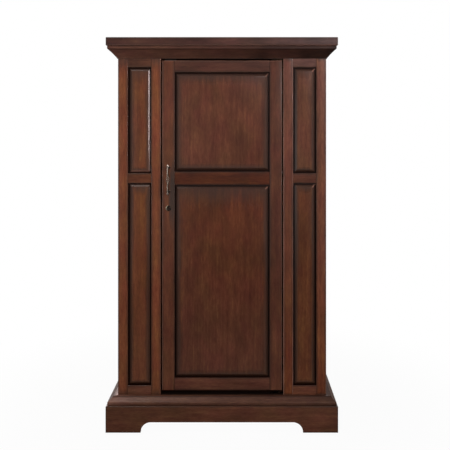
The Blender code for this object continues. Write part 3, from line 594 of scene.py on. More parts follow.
def grown(tree, start, sizes, material, bevel=0.0):
    """Run a tree on a bmesh and return the plain result as a bmesh."""
    mesh = new_mesh(tree.name, start)
    seed = new_object(tree.name, mesh)
    modifier = seed.modifiers.new(tree.name, "NODES")
    modifier.node_group = tree
    sockets = {item.name: item.identifier for item in tree.interface.items_tree if item.in_out == "INPUT"}
    for key, value in {**sizes, "Material": material}.items():
        modifier[sockets[key]] = value
    if bevel:
        rounding = seed.modifiers.new("rounding", "BEVEL")
        rounding.width = bevel
        rounding.segments = 2
        rounding.limit_method = "ANGLE"
        rounding.angle_limit = BEVEL_ANGLE
    result = flattened(seed)
    bpy.data.meshes.remove(mesh)
    return result


def moulding_tree():
    """Sweep a profile from one end of a length to the other, and cut the ends to a mitre."""
    tree, given = geometry_tree("moulding_sweep", ("Start", "End", "Start Mitre", "End Mitre"))
    closed = thickened(tree, given["Geometry"], combined(tree, 0.0, 1.0))
    place = parts_of(tree, add(tree, "GeometryNodeInputPosition"))
    ends = [calc(tree, "MULTIPLY_ADD", place[X], given[end + " Mitre"], given[end])
            for end in ("Start", "End")]
    along = remap(tree, place[Y], new=ends)
    laid = add(tree, "GeometryNodeSetPosition",
               {"Geometry": closed, "Position": combined(tree, place[X], along, place[Z])})
    return close_tree(tree, given, laid)


def repeat_tree():
    """Extrude a profile and repeat it across the cabinet at a pitch."""
    tree, given = geometry_tree("rails_at_a_pitch", ("Pitch", "Length"), ("Count",))
    rail = thickened(tree, given["Geometry"], combined(tree, 0.0, given["Length"]))
    step = combined(tree, given["Pitch"])
    row = add(tree, "GeometryNodeMeshLine", {"Count": given["Count"], "Offset": step})
    placed = add(tree, "GeometryNodeInstanceOnPoints", {"Points": row, "Instance": rail})
    return close_tree(tree, given, placed)


def cradle_tree():
    """A rail with a round cradle for each bottle, from the bottles' pitch and size."""
    tree, given = geometry_tree("cradled_rail", ("Pitch", "Radius", "Cradle Depth", "Height", "Thickness"),
                                ("Count",))
    pitch, radius = given["Pitch"], given["Radius"]
    length = calc(tree, "MULTIPLY", given["Count"], pitch)
    steps = calc(tree, "MULTIPLY_ADD", given["Count"], CRADLE_STEPS, 1.0)
    sheet = add(tree, "GeometryNodeMeshGrid", {"Size X": length, "Size Y": given["Height"],
                                               "Vertices X": steps, "Vertices Y": 2})
    place = parts_of(tree, add(tree, "GeometryNodeInputPosition"))
    from_left = calc(tree, "ADD", place[X], calc(tree, "MULTIPLY", length, 0.5))
    off = calc(tree, "MULTIPLY_ADD", pitch, -0.5, calc(tree, "FLOORED_MODULO", from_left, pitch))
    held = calc(tree, "SUBTRACT", calc(tree, "MULTIPLY", radius, radius), calc(tree, "MULTIPLY", off, off))
    chord = calc(tree, "SQRT", calc(tree, "MAXIMUM", held, 0.0))
    drop = calc(tree, "SUBTRACT", chord, calc(tree, "SUBTRACT", radius, given["Cradle Depth"]))
    drop = calc(tree, "MULTIPLY", calc(tree, "MAXIMUM", drop, 0.0), calc(tree, "GREATER_THAN", place[Y], 0.0))
    lowered = combined(tree, place[X], calc(tree, "SUBTRACT", place[Y], drop))
    shaped = add(tree, "GeometryNodeSetPosition", {"Geometry": sheet, "Position": lowered})
    return close_tree(tree, given, thickened(tree, shaped, combined(tree, 0.0, 0.0, given["Thickness"])))


def head_tree():
    """A domed screw or nail head on every point, with a cross recess where it is a screw."""
    tree, given = geometry_tree("fixing_heads", ("Head Radius", "Head Height"), bools=("Screw",))
    dome = add(tree, "GeometryNodeMeshUVSphere", {"Segments": 20, "Rings": 10, "Radius": 1.0})
    size = combined(tree, given["Head Radius"], given["Head Radius"], given["Head Height"])
    head = add(tree, "GeometryNodeTransform", {"Geometry": dome, "Scale": size})
    recessed = add(tree, "GeometryNodeMeshBoolean", {"Mesh 1": head}, operation="DIFFERENCE")
    lift = vector_calc(tree, "MULTIPLY", size, (0, 0, 1.05))
    for long, short in ((1.1, 0.24), (0.24, 1.1)):
        bar_size = vector_calc(tree, "MULTIPLY", size, (long, short, 1.2))
        bar = add(tree, "GeometryNodeMeshCube", {"Size": bar_size})
        raised = add(tree, "GeometryNodeTransform", {"Geometry": bar, "Translation": lift})
        tree.links.new(raised.outputs[0], recessed.inputs["Mesh 2"])
    chosen = add(tree, "GeometryNodeSwitch", {"Switch": given["Screw"], "False": head, "True": recessed},
                 input_type="GEOMETRY")
    placed = add(tree, "GeometryNodeInstanceOnPoints", {"Points": given["Geometry"], "Instance": chosen})
    return close_tree(tree, given, placed)


def basket_tree():
    """Wires that wind round an axis and swell out between their ends."""
    tree, given = geometry_tree("twisted_wires", ("Length", "Turns", "End Radius", "Middle Radius",
                                                  "Wire Radius"), ("Wires",))
    line = add(tree, "GeometryNodeMeshLine", {"Count": STRAND_POINTS, "Offset": (0, 0, 1.0)})
    share = calc(tree, "DIVIDE", add(tree, "GeometryNodeInputIndex"), STRAND_POINTS - 1)
    bow = calc(tree, "SINE", calc(tree, "MULTIPLY", share, math.pi))
    swell = calc(tree, "SUBTRACT", given["Middle Radius"], given["End Radius"])
    radius = calc(tree, "MULTIPLY_ADD", swell, bow, given["End Radius"])
    angle = calc(tree, "MULTIPLY", calc(tree, "MULTIPLY", share, given["Turns"]), math.tau)
    east, north = [calc(tree, "MULTIPLY", calc(tree, way, angle), radius) for way in ("COSINE", "SINE")]
    up = calc(tree, "MULTIPLY", calc(tree, "SUBTRACT", share, 0.5), given["Length"])
    wound = combined(tree, east, north, up)
    path = add(tree, "GeometryNodeMeshToCurve",
               {"Mesh": add(tree, "GeometryNodeSetPosition", {"Geometry": line, "Position": wound})})
    section = add(tree, "GeometryNodeCurvePrimitiveCircle",
                  {"Resolution": 10, "Radius": given["Wire Radius"]})
    wire = add(tree, "GeometryNodeCurveToMesh", {"Curve": path, "Profile Curve": section.outputs["Curve"],
                                                 "Fill Caps": True})
    ring = add(tree, "GeometryNodeMeshLine", {"Count": given["Wires"], "Offset": (0, 0, 0)})
    turn = calc(tree, "DIVIDE", add(tree, "GeometryNodeInputIndex"), given["Wires"])
    turn = combined(tree, 0.0, 0.0, calc(tree, "MULTIPLY", turn, math.tau))
    placed = add(tree, "GeometryNodeInstanceOnPoints", {"Points": ring, "Instance": wire, "Rotation": turn})
    return close_tree(tree, given, placed)


BEVEL_ANGLE = math.radians(50)     # the edges of a grown piece that are rounded turn by more
CRADLE_STEPS = 44                  # of a rail's top edge for each bottle
STRAND_POINTS = 41                 # along each wire of the pull

MOULDING = moulding_tree()
RAILS = repeat_tree()
CRADLES = cradle_tree()
HEADS = head_tree()
BASKET = basket_tree()

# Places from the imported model
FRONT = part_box("left_pilaster_outer_stile")[0].y
BODY_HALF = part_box("right_pilaster_outer_stile")[1].x
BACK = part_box("left_side_frame")[1].y
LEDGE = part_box("base_moulding_front")[1].z
DOORWAY_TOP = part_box("cornice_front")[0].z
INSIDE_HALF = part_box("counter_shelf")[1].x
SIDES = (("left", -1), ("right", 1))

# Changes of lightness, hue and saturation, board by board: partly as the stain took, partly painted light,
# with the cornice and top rails darkened as shade and the greyer boards standing for sheen
TONES = {
    "left_pilaster": {"outer_stile": (0.06, -0.002, 0.0), "inner_stile": (0.08, -0.002, 0.0),
                      "top_rail": (-0.52, 0.0, -0.09), "mid_rail": (-0.40, 0.0, 0.0),
                      "bottom_rail": (-0.27, -0.003, -0.09), "upper_panel": (-0.20, 0.0, 0.0),
                      "lower_panel": (-0.10, 0.001, 0.0)},
    "right_pilaster": {"outer_stile": (-0.05, -0.002, -0.05), "inner_stile": (-0.19, -0.005, -0.05),
                       "top_rail": (-0.25, -0.006, -0.26), "mid_rail": (-0.40, -0.003, -0.06),
                       "bottom_rail": (-0.22, -0.003, -0.04), "upper_panel": (-0.23, 0.0, -0.09),
                       "lower_panel": (-0.30, 0.002, 0.0)},
    "door": {"lock_stile": (-0.34, -0.003, -0.05), "hinge_stile": (-0.44, -0.005, -0.06),
             "top_rail": (-0.59, -0.007, -0.12), "mid_rail": (-0.58, -0.006, 0.05),
             "bottom_rail": (-0.38, -0.006, -0.08), "upper_panel": (-0.36, -0.003, -0.06),
             "lower_panel": (-0.40, -0.004, -0.02)},
    "side": (-0.12, 0.0, 0.0),
    "cornice": (-0.625, -0.004, -0.15),
    "top": (-0.66, -0.010, -0.22),
    "base_moulding": (-0.355, 0.001, -0.14),
    "plinth": (-0.36, -0.0005, -0.06),
    "inside": (0.0, 0.0, 0.0),
}

# Painted light along each stile: how much darker and greyer it is at the top than at the bottom, as shade and
# sheen
PAINTED_LIGHT_FADES = {
    ("left_pilaster", "outer_stile"): (0.22, 0.0),
    ("left_pilaster", "inner_stile"): (0.10, 0.0),
    ("right_pilaster", "inner_stile"): (-0.10, 0.18),
    ("right_pilaster", "outer_stile"): (-0.15, 0.18),
    ("door", "lock_stile"): (0.12, 0.0),
    ("door", "hinge_stile"): (0.12, 0.0),
}

# How far the wax and painted shade reach from the base and from the cornice; the shade under the cornice is on
# the left pilaster
END_WAX_AND_SHADE = {"left_pilaster": (30 * MM, 62 * MM), "right_pilaster": (12 * MM, 16 * MM)}

# Arrises with a painted highlight, and how strong it is
EDGE_HIGHLIGHTS = {
    ("left_pilaster", "inner_stile"): {(X, 1): 0.15},
    ("right_pilaster", "inner_stile"): {(X, -1): 1.0, (X, 1): 0.55},
    ("right_pilaster", "outer_stile"): {(X, 1): 0.5},
    ("door", "lock_stile"): {(X, -1): 0.45, (Z, 1): 0.6},
    ("door", "hinge_stile"): {(X, 1): 0.3, (Z, 1): 0.6},
    ("door", "top_rail"): {(Z, 1): 0.6},
}

# Sides of each rail where a panel's groove is
RAIL_GROOVES = {"bottom_rail": [(Z, 1)], "mid_rail": [(Z, 1), (Z, -1)], "top_rail": [(Z, -1)]}

# How each panel of the front differs: see raised_panel
PANELS = {
    "left_pilaster_upper_panel": {"grooves": (4.2, 1.4, 0.8, 3.3), "lit_sides": ("right", "below"),
                                  "side_highlights": {"below": 0.5, "right": 0.15}, "top_wax_and_shade": 75 * MM},
    "left_pilaster_lower_panel": {"grooves": (3.9, 3.3, 0.9, 1.9), "lit_sides": ("right", "above"),
                                  "top_wax_and_shade": 45 * MM, "painted_light_fade": (0.10, -0.06)},
    "right_pilaster_upper_panel": {"grooves": (5.0, 3.3, 3.3, 3.3), "lit_sides": ("right", "above"),
                                   "top_wax_and_shade": 40 * MM, "worn_mitre": 0.85},
    "right_pilaster_lower_panel": {"grooves": (4.6, 3.3, 3.0, 3.3), "lit_sides": ("above",),
                                   "top_wax_and_shade": 30 * MM, "worn_mitre": 0.75},
    "door_upper_panel": {"grooves": (3.6, 4.2, 3.3, 3.3), "lit_sides": ("right",),
                         "top_wax_and_shade": 40 * MM, "worn_mitre": 0.4},
    "door_lower_panel": {"grooves": (3.3, 3.8, 3.6, 4.6), "lit_sides": ("above",),
                         "top_wax_and_shade": 95 * MM, "worn_mitre": 0.75, "painted_light_fade": (0.0, -0.12)},
}


def jittered(tone, amount=0.02):
    return (tone[0] + draws.uniform(-amount, amount), tone[1], tone[2])


def framed_board(name, low, high, run, face, tone, eased, groove_sides, body, stands_for, rub=STILE_RUB,
                 ends=None, painted_light_fade=(0, 0), worn=None):
    """A stile or rail. face is the (axis, sign) of its show side.

    eased lists the (axis, sign) of the edges that are sanded on the show side, and groove_sides the sides
    that look into a groove. ends gives the widths of the wax and painted shade at its low and high end.
    worn gives how strong a painted highlight the arris of an edge gets, by its (axis, sign).
    """
    low, high = Vector(low), Vector(high)
    bm = block(low, high)
    face_axis, face_sign = face
    face_place = high[face_axis] if face_sign > 0 else low[face_axis]
    chosen = []
    for edge in bm.edges:
        corners = [vert.co for vert in edge.verts]
        if any(abs(co[face_axis] - face_place) > WELD for co in corners):
            continue
        for axis, sign in eased:
            edge_place = high[axis] if sign > 0 else low[axis]
            if all(abs(co[axis] - edge_place) < WELD for co in corners):
                chosen.append(edge)
    round_over(bm, chosen, EASE)
    finish = cherry_pull_shadowed if stands_for == ("door_lock_stile",) else cherry
    piece = make_piece(name, bm, body, finish, stands_for)
    lay_grain(piece, run, face_axis, jittered(tone), None, painted_light_fade)

    def painted_highlight(co, normal):
        if not 0.15 < normal[face_axis] * face_sign < 0.995:      # not on a rounded arris
            return 0.0
        return max([share for (axis, sign), share in (worn or {}).items() if normal[axis] * sign > 0.1],
                   default=0.0)

    if ends:                   # the mouldings hide the real ends
        low[run], high[run] = LEDGE, DOORWAY_TOP
    mark_rub_shade_and_highlights(piece, rub, run, None, low, high, ends, painted_highlight, face)
    piece.data.materials.append(groove_wax_and_shade)
    for polygon in piece.data.polygons:
        if any(polygon.normal[axis] * sign > 0.999 for axis, sign in groove_sides):
            polygon.material_index = 1


def spot_of(co):
    """A place to the nearest micrometre, as a key."""
    return tuple(round(part, 6) for part in co)


def raised_panel(name, body, place, width, height, tone, rub, stands_for, grooves=EVEN, lit_sides=(),
                 side_highlights=None, top_wax_and_shade=None, worn_mitre=0.0, painted_light_fade=(0, 0)):
    """A raised panel: groove, straight bevel, small step and field. place maps (across, depth, up).

    A loose panel sits unevenly in its frame: grooves are the widths left, below, right and above, in mm.
    lit_sides lists the sides whose bevels are lit and get less wax and painted shade, and side_highlights
    gives how strong a painted highlight the bevel of a side gets. The wax spreads over the width rub from the
    field's edges, and wax with painted shade over top_wax_and_shade from its top edge. worn_mitre is how
    strong a painted highlight the mitre between the bevels above and right gets. painted_light_fade is as in
    lay_grain.
    """
    bm = bmesh.new()
    rings = []
    for inset, depth in [(0.0, PANEL_BACK / MM)] + PANEL_PROFILE:
        left, below, right, above = [(inset + min(inset, 1.0) * (groove - GROOVE_WIDTH)) * MM
                                     for groove in grooves]
        corners = [(left, below), (width - right, below), (width - right, height - above),
                   (left, height - above)]
        ring = []
        for (x, z), before, after in zip(corners, SIDES_BEFORE, SIDES_AFTER):
            for side, reach in ((before, -MITRE_REACH), (after, 0.0), (after, MITRE_REACH)):
                ring.append(bm.verts.new((x + side[0] * reach, depth * MM, z + side[1] * reach)))
        rings.append(ring)
    for index, (outer, inner) in enumerate(zip(rings, rings[1:])):
        for i in range(len(outer)):
            j = (i + 1) % len(outer)
            face = bm.faces.new((outer[i], outer[j], inner[j], inner[i]))
            face.material_index = 1 if index <= WAX_AND_SHADE_RING else 0
    bm.faces.new(rings[-1])
    bm.faces.new(rings[0])
    mitre = {spot_of(place(*ring[MITRE_CORNER].co)) for ring in rings[1:]}
    flat = {spot_of(place(*vert.co)): vert.co.copy() for vert in bm.verts}
    piece = make_piece(name, moved(bm, place), body, cherry, stands_for)
    piece.data.materials.append(groove_wax_and_shade)
    out = Vector(place(0, 0, 0)) - Vector(place(0, 1, 0))
    show = (axis_of(out), math.copysign(1, sum(out)))
    lay_grain(piece, Z, show[0], jittered(tone), None, painted_light_fade)

    def facing(normal):
        lean = {"left": -normal.x, "right": normal.x, "below": -normal.z, "above": normal.z, "out": 0.2}
        return max(lean, key=lean.get)

    def planed(normal):
        return abs(normal.dot(out) - BEVEL_LEAN) < 0.005

    def wax_and_shade(co, normal):
        spot = spot_of(co)
        depth = flat[spot].y
        if depth > PANEL_BACK - WELD or (worn_mitre and spot in mitre and depth < MITRE_DEPTH):
            return 0.0
        if depth < STEP_DEPTH and normal.dot(out) < 0.999 and not planed(normal):
            return STEP_WAX_AND_SHADE
        return wax_and_shade_share(depth, LIT_SIDE_WAX_FROM if facing(normal) in lit_sides else WAX_AND_SHADE_FROM)

    def painted_highlight(co, normal):
        spot = spot_of(co)
        if spot in mitre and STEP_DEPTH - MM < flat[spot].y < MITRE_DEPTH:
            return worn_mitre
        return (side_highlights or {}).get(facing(normal), 0.0)

    for polygon in piece.data.polygons:
        if planed(polygon.normal):
            polygon.use_smooth = False          # a planed bevel is flat up to its edges
    field = [Vector(place(FIELD_INSET, 0, FIELD_INSET)),
             Vector(place(width - FIELD_INSET, 0, height - FIELD_INSET))]
    low, high = [Vector(pick(pair) for pair in zip(*field)) for pick in (min, max)]
    mark_rub_shade_and_highlights(piece, rub, Z, wax_and_shade, low, high, (rub, top_wax_and_shade or rub), painted_highlight, show)


def front_frame(prefix, body, stile_names, panel_rub):
    """The stiles, rails and panels of a pilaster or the door, in the places of their CAD nodes."""
    tones = TONES[prefix]
    boxes = {part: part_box(f"{prefix}_{part}") for part in tones}
    for part in stile_names + tuple(RAIL_GROOVES):
        low, high = boxes[part]
        if part in stile_names:
            run, rub, ends = Z, STILE_RUB, END_WAX_AND_SHADE.get(prefix)
            groove_sides = [(X, 1 if low.x < boxes["mid_rail"][0].x else -1)]
            eased = {(X, 1), (X, -1)}
        else:
            run, rub, ends = X, BOARD_RUB, None
            groove_sides = RAIL_GROOVES[part]
            eased = set(groove_sides)
        if body == "door":
            eased |= {(Z, 1), (Z, -1)}
        framed_board(f"{prefix}_{part}_wood", low, high, run, (Y, -1), tones[part], eased, groove_sides, body,
                     (f"{prefix}_{part}",), rub, ends, PAINTED_LIGHT_FADES.get((prefix, part), (0, 0)),
                     EDGE_HIGHLIGHTS.get((prefix, part)))
    for part in ("lower_panel", "upper_panel"):
        low, high = boxes[part]
        raised_panel(f"{prefix}_{part}_wood", body,
                     lambda across, depth, up: (low.x + across, FRONT + depth, low.z + up),
                     high.x - low.x, high.z - low.z, tones[part], panel_rub, (f"{prefix}_{part}",),
                     **PANELS[f"{prefix}_{part}"])


def pilasters():
    for side_name, _ in SIDES:
        front_frame(f"{side_name}_pilaster", "cabinet", ("outer_stile", "inner_stile"), PILASTER_PANEL_RUB)


def door_leaf():
    front_frame("door", "door", ("lock_stile", "hinge_stile"), DOOR_PANEL_RUB)


def side_walls():
    """Each side as two stiles, three rails and two raised panels that face outwards."""
    for name, side in SIDES:
        frame_low, frame_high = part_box(f"{name}_side_frame")
        panels = {part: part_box(f"{name}_side_{part}_panel") for part in ("lower", "upper")}
        (lower_low, lower_high), (upper_low, upper_high) = panels.values()
        front = lower_low.y - JOINT_GAP
        rear = lower_high.y + JOINT_GAP
        between = (front + JOINT_GAP, rear - JOINT_GAP)
        whole = (frame_low.z, frame_high.z)
        boards = {"front_stile": ((frame_low.y, front), whole),
                  "rear_stile": ((rear, frame_high.y), whole),
                  "bottom_rail": (between, (frame_low.z, lower_low.z - JOINT_GAP)),
                  "mid_rail": (between, (lower_high.z + JOINT_GAP, upper_low.z - JOINT_GAP)),
                  "top_rail": (between, (upper_high.z + JOINT_GAP, frame_high.z))}
        grooves = {"front_stile": [(Y, 1)], "rear_stile": [(Y, -1)], **RAIL_GROOVES}
        for part, (deep, tall) in boards.items():
            run, rub = (Y, BOARD_RUB) if part in RAIL_GROOVES else (Z, STILE_RUB)
            eased = grooves[part] + ([(Y, 1)] if part == "rear_stile" else [])
            low, high = zip((frame_low.x, frame_high.x), deep, tall)
            framed_board(f"{name}_side_{part}", low, high, run, (X, side), TONES["side"], eased,
                         grooves[part], "cabinet", (f"{name}_side_frame",), rub)
        for part, (low, high) in panels.items():
            raised_panel(f"{name}_side_{part}_panel_wood", "cabinet",
                         lambda across, depth, up: (side * (BODY_HALF - depth), low.y + across, low.z + up),
                         high.y - low.y, high.z - low.z, TONES["side"], PILASTER_PANEL_RUB,
                         (f"{name}_side_{part}_panel",))


# Mouldings, as (reach from the body, height) points

FASCIA = 12.2 * MM                     # height of the cornice's upright face
QUIRK_WAX_AND_SHADE = 0.85                       # share of the wood that the wax and painted shade in a moulding's quirk cover
QUIRK_REACH = 2.6 * MM                 # over which a full cover of wax and painted shade fades out
HIGHLIGHT_END = -BODY_HALF + 75 * MM        # the painted highlight on the left end of the base moulding ends here
BASE_END_HIGHLIGHT = 0.5                        # how strong the painted highlight is there
TOP_EDGE_HIGHLIGHT = 0.4                         # and on the top board's lower arrises in front


def bowed(start, end, steps, sag, lift):
    """Points of a line that bows back by sag. lift is 1 where it bows upwards too, or else -1."""
    points = []
    for i in range(steps + 1):
        share = i / steps
        bow = 0.7 * sag * math.sin(math.pi * share)
        points.append((start[0] + (end[0] - start[0]) * share - bow,
                       start[1] + (end[1] - start[1]) * share + lift * bow))
    return points


def cornice_profile():
    low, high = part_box("cornice_front")
    reach = FRONT - low.y
    fascia = high.z - FASCIA
    return ([(JOINT_GAP, low.z)] + at((0, low.z), [(1.5, 0), (2.8, 0.3), (3.5, 1.2)])
            + bowed((3.5 * MM, low.z + 2.2 * MM), (reach - 1.2 * MM, fascia - 0.4 * MM), 8, 1.1 * MM, 1)
            + at((reach, fascia), [(-1.2, 0.3), (-0.5, 0.4), (-0.1, 0.9), (0, 1.6)])
            + at((reach, high.z), [(0, -1.8), (-0.3, -1.1), (-1.0, -0.8), (-1.2, 0)])
            + [(JOINT_GAP, high.z)])


def base_profile():
    low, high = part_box("base_moulding_front")
    reach = FRONT - low.y
    ledge = 16.5 * MM
    fillet = low.z + 13.6 * MM
    return ([(JOINT_GAP, low.z)] + at((reach, low.z), [(-0.9, 0), (-0.3, 0.3), (0, 0.9)])
            + at((reach, fillet), [(0, -1.5), (-0.3, -0.4)])
            + bowed((reach - 1.1 * MM, fillet + 0.8 * MM), (ledge + 1.6 * MM, high.z - 1.6 * MM), 6,
                    0.7 * MM, -1)
            + at((ledge, high.z), [(0.9, -0.5), (0, 0)]) + [(JOINT_GAP, high.z)])


def mouldings(prefix, profile, quirks, painted_light_fade, worn_end=0.0):
    """Three mitred lengths of a moulding. quirks are heights where wax and painted shade are left.

    painted_light_fade and worn_end are of the front length: how it fades to the right, as in lay_grain,
    and how strong a painted highlight its left end gets.
    """

    def wax_and_shade(co, normal):
        distance = min(abs(co.z - height) for height in quirks)
        return max(0.0, QUIRK_WAX_AND_SHADE - distance / QUIRK_REACH)

    mitre = math.sqrt(2) * JOINT_GAP
    runs = [("front", X, -BODY_HALF, BODY_HALF, 1.0, lambda reach, along, up: (along, FRONT - reach, up))]
    for name, side in SIDES:
        runs.append((name, Y, FRONT + mitre, BACK, 0.0,
                     lambda reach, along, up, side=side: (side * (BODY_HALF + reach), along, up)))
    for name, run, start, stop, end_mitre, place in runs:
        sizes = {"Start": start, "End": stop, "Start Mitre": -1.0, "End Mitre": end_mitre}
        finish = cherry_dull if (prefix, name) == ("base_moulding", "right") else cherry
        bm = moved(grown(MOULDING, filled(profile), sizes, finish), place)
        if worn_end and run == X:
            whole = bm.verts[:] + bm.edges[:] + bm.faces[:]
            bmesh.ops.bisect_plane(bm, geom=whole, plane_co=(HIGHLIGHT_END, 0, 0), plane_no=(1, 0, 0))
        piece = make_piece(f"{prefix}_{name}_wood", bm, "cabinet", finish, (f"{prefix}_{name}",))
        depth = Y if run == X else X
        lay_grain(piece, run, depth, jittered(TONES[prefix]), None, painted_light_fade if run == X else (0, 0))
        mark_rub_shade_and_highlights(piece, MOULDING_RUB, run, wax_and_shade,
                  painted_highlight=lambda co, normal: worn_end if run == X and co.x < HIGHLIGHT_END - MM else 0.0)


def top_board():
    low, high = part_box("top_board")
    bm = block(low, high)
    round_over(bm, bm.edges[:], TOP_EASE, 5)
    piece = make_piece("top_board_wood", bm, "cabinet", cherry, ("top_board",))
    # Painted sheen: the top board is lighter and greyer towards the right
    lay_grain(piece, X, Z, TONES["top"], (20 * MM, 160 * MM), (-0.12, 0.12))
    mark_rub_shade_and_highlights(piece, PLINTH_RUB, None, None, low, high,
              painted_highlight=lambda co, normal: TOP_EDGE_HIGHLIGHT if normal.z < -0.2 and normal.y < -0.2 else 0.0)


ARCH_FOOT, ARCH_RISE, ARCH_RADIUS = 137 * MM, 42 * MM, 40 * MM      # of each arched plinth board
ARCH_STEPS = 14                    # of each of its quarter rounds
PLINTH_THICKNESS = 20 * MM
PLINTH_ENDS = (8 * MM, 5 * MM)     # widths of the wax rubbed in at a board's low and high end


def plinth_board(name, low, high, place, mitre, painted_light_fade=(0, 0)):
    """An arched board. place maps (along, depth behind the face, up), and mitre gives the ends."""
    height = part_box("plinth_front")[1].z
    turns = [(low + ARCH_FOOT + ARCH_RADIUS, 180, 90), (high - ARCH_FOOT - ARCH_RADIUS, 90, 0)]
    points = [(low, 0), (low + ARCH_FOOT, 0)]
    for centre, first, last in turns:
        points += arc((centre, ARCH_RISE - ARCH_RADIUS), ARCH_RADIUS, first, last, ARCH_STEPS)
    points += [(high - ARCH_FOOT, 0), (high, 0), (high, height), (low, height)]
    bm = bmesh.new()
    show, hidden = [[bm.verts.new((x, depth, z)) for x, z in points] for depth in (0, PLINTH_THICKNESS)]
    bm.faces.new(show)
    bm.faces.new(hidden)
    for i in range(len(points)):
        bm.faces.new((show[i - 1], show[i], hidden[i], hidden[i - 1]))

    def on_front(edge):
        return all(abs(vert.co.y) < WELD for vert in edge.verts)

    top = [e for e in bm.edges if on_front(e) and all(v.co.z > height - WELD for v in e.verts)]
    round_over(bm, top, PLINTH_EASE)
    arch = []
    for edge in bm.edges:
        middle = (edge.verts[0].co + edge.verts[1].co) / 2
        at_end = min(abs(middle.x - low), abs(middle.x - high)) < WELD
        if on_front(edge) and WELD < middle.z < ARCH_RISE + WELD and not at_end:
            arch.append(edge)
    round_over(bm, arch, ARCH_EASE, 3)
    for vert in bm.verts:
        for end, sign in ((low, -1), (high, 1)):
            if abs(vert.co.x - end) < WELD:
                vert.co.x = mitre(sign, vert.co.y, end)
    piece = make_piece(f"{name}_wood", moved(bm, place), "cabinet", cherry, (name,))
    run = X if name == "plinth_front" else Y
    lay_grain(piece, run, Y if run == X else X, jittered(TONES["plinth"]), None, painted_light_fade)
    mark_rub_shade_and_highlights(piece, PLINTH_RUB, run, ends=PLINTH_ENDS)


def plinth():
    low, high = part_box("plinth_front")
    outer = high.x

    def front_mitre(sign, depth, end):
        return end - sign * depth

    def side_mitre(sign, depth, end):
        return end if sign > 0 else end + depth + math.sqrt(2) * JOINT_GAP

    plinth_board("plinth_front", -outer, outer, lambda along, depth, up: (along, low.y + depth, up),
                 front_mitre, (-0.02, 0))
    for name, side in SIDES:
        plinth_board(f"plinth_{name}", -BACK, BACK,
                     lambda along, depth, up: (side * (outer - depth), along, up), side_mitre)
    low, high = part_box("plinth_back")
    bm = block(low, high)
    long_edges = [e for e in bm.edges if abs(e.verts[0].co.x - e.verts[1].co.x) > 0.1]
    round_over(bm, long_edges, EASE, 3)
    piece = make_piece("plinth_back_wood", bm, "cabinet", cherry, ("plinth_back",))
    lay_grain(piece, X, Y, jittered(TONES["plinth"]))
    mark_rub_shade_and_highlights(piece, PLINTH_RUB, X)


# Fittings inside

BOTTLES = 8                        # side by side in a wine rack
RACK_BOARD = 18 * MM               # thickness of the wine racks' boards
RACK_EASE = 1.5 * MM
RAIL_PITCH = 102 * MM              # of the stemware rack
SHELF_HALF = 9 * MM                # from a shelf's underside to its middle
NAILS, NAIL_PITCH = 7, 120 * MM    # of each row in the back panel


def inside_piece(name, bm, run, depth, node):
    piece = make_piece(name, bm, "cabinet", cherry_inside, (node,))
    lay_grain(piece, run, depth, jittered(TONES["inside"]))
    mark_rub_shade_and_highlights(piece, BOARD_RUB, run)


def inside_board(name, low, high, run, depth, ease, node, long_only=True):
    bm = block(low, high)
    edges = [e for e in bm.edges
             if not long_only or abs(e.verts[0].co[run] - e.verts[1].co[run]) > 10 * MM]
    round_over(bm, edges, ease, 3)
    inside_piece(name, bm, run, depth, node)


def shelves():
    for name in ("counter_shelf", "bottle_shelf"):
        inside_board(f"{name}_wood", *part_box(name), X, Z, 3 * MM, name)


def wine_racks():
    """Each rack's neck rail, bottle rail and cleats. The sizes are those of the CAD rack."""
    for name in ("wine_rack_lower", "wine_rack_upper"):
        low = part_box(name)[0]
        rear_end = low.y + 220 * MM
        for part, radius, cradle, height, start in (("neck_rail", 18, 14, 68, low.y),
                                                    ("bottle_rail", 42, 22, 50, rear_end - RACK_BOARD)):
            sizes = {"Count": BOTTLES, "Pitch": 2 * INSIDE_HALF / BOTTLES, "Radius": radius * MM,
                     "Cradle Depth": cradle * MM, "Height": height * MM, "Thickness": RACK_BOARD}
            bm = grown(CRADLES, bmesh.new(), sizes, cherry_inside, RACK_EASE)
            middle = low.z + height * MM / 2
            inside_piece(f"{name}_{part}", moved(bm, lambda x, y, z: (x, start + z, middle + y)), X, Y, name)
        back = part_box("counter_shelf")[1].y
        cleats = {"front": (low.y + RACK_BOARD + JOINT_GAP, rear_end - RACK_BOARD - JOINT_GAP),
                  "rear": (rear_end + JOINT_GAP, back)}
        for side_name, side in SIDES:
            edges = sorted((side * INSIDE_HALF, side * (INSIDE_HALF - RACK_BOARD)))
            for part, (start, stop) in cleats.items():
                inside_board(f"{name}_{side_name}_{part}_cleat", (edges[0], start, low.z + 2 * MM),
                             (edges[1], stop, low.z + 48 * MM), Y, X, RACK_EASE, name)


def stemware_rack():
    low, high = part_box("stemware_rack")
    plate = 12 * MM
    inside_board("stemware_rack_plate", (low.x, low.y, high.z - plate), high, X, Z, RACK_EASE,
                 "stemware_rack", False)
    stem, flange = 8 * MM, 38 * MM
    flange_top = low.z + 9 * MM
    top = high.z - plate - JOINT_GAP
    half = [(flange, low.z), (flange, flange_top), (stem, flange_top), (stem, top)]
    points = [(-flange, low.z)] + half + [(-x, z) for x, z in half[:0:-1]]
    sizes = {"Count": 5, "Pitch": RAIL_PITCH, "Length": high.y - low.y}
    bm = grown(RAILS, filled(points), sizes, cherry_inside, 2 * MM)
    inside_piece("stemware_rack_rails", moved(bm, lambda x, y, z: (x - 2 * RAIL_PITCH, low.y + y, z)), Y, Z,
                 "stemware_rack")


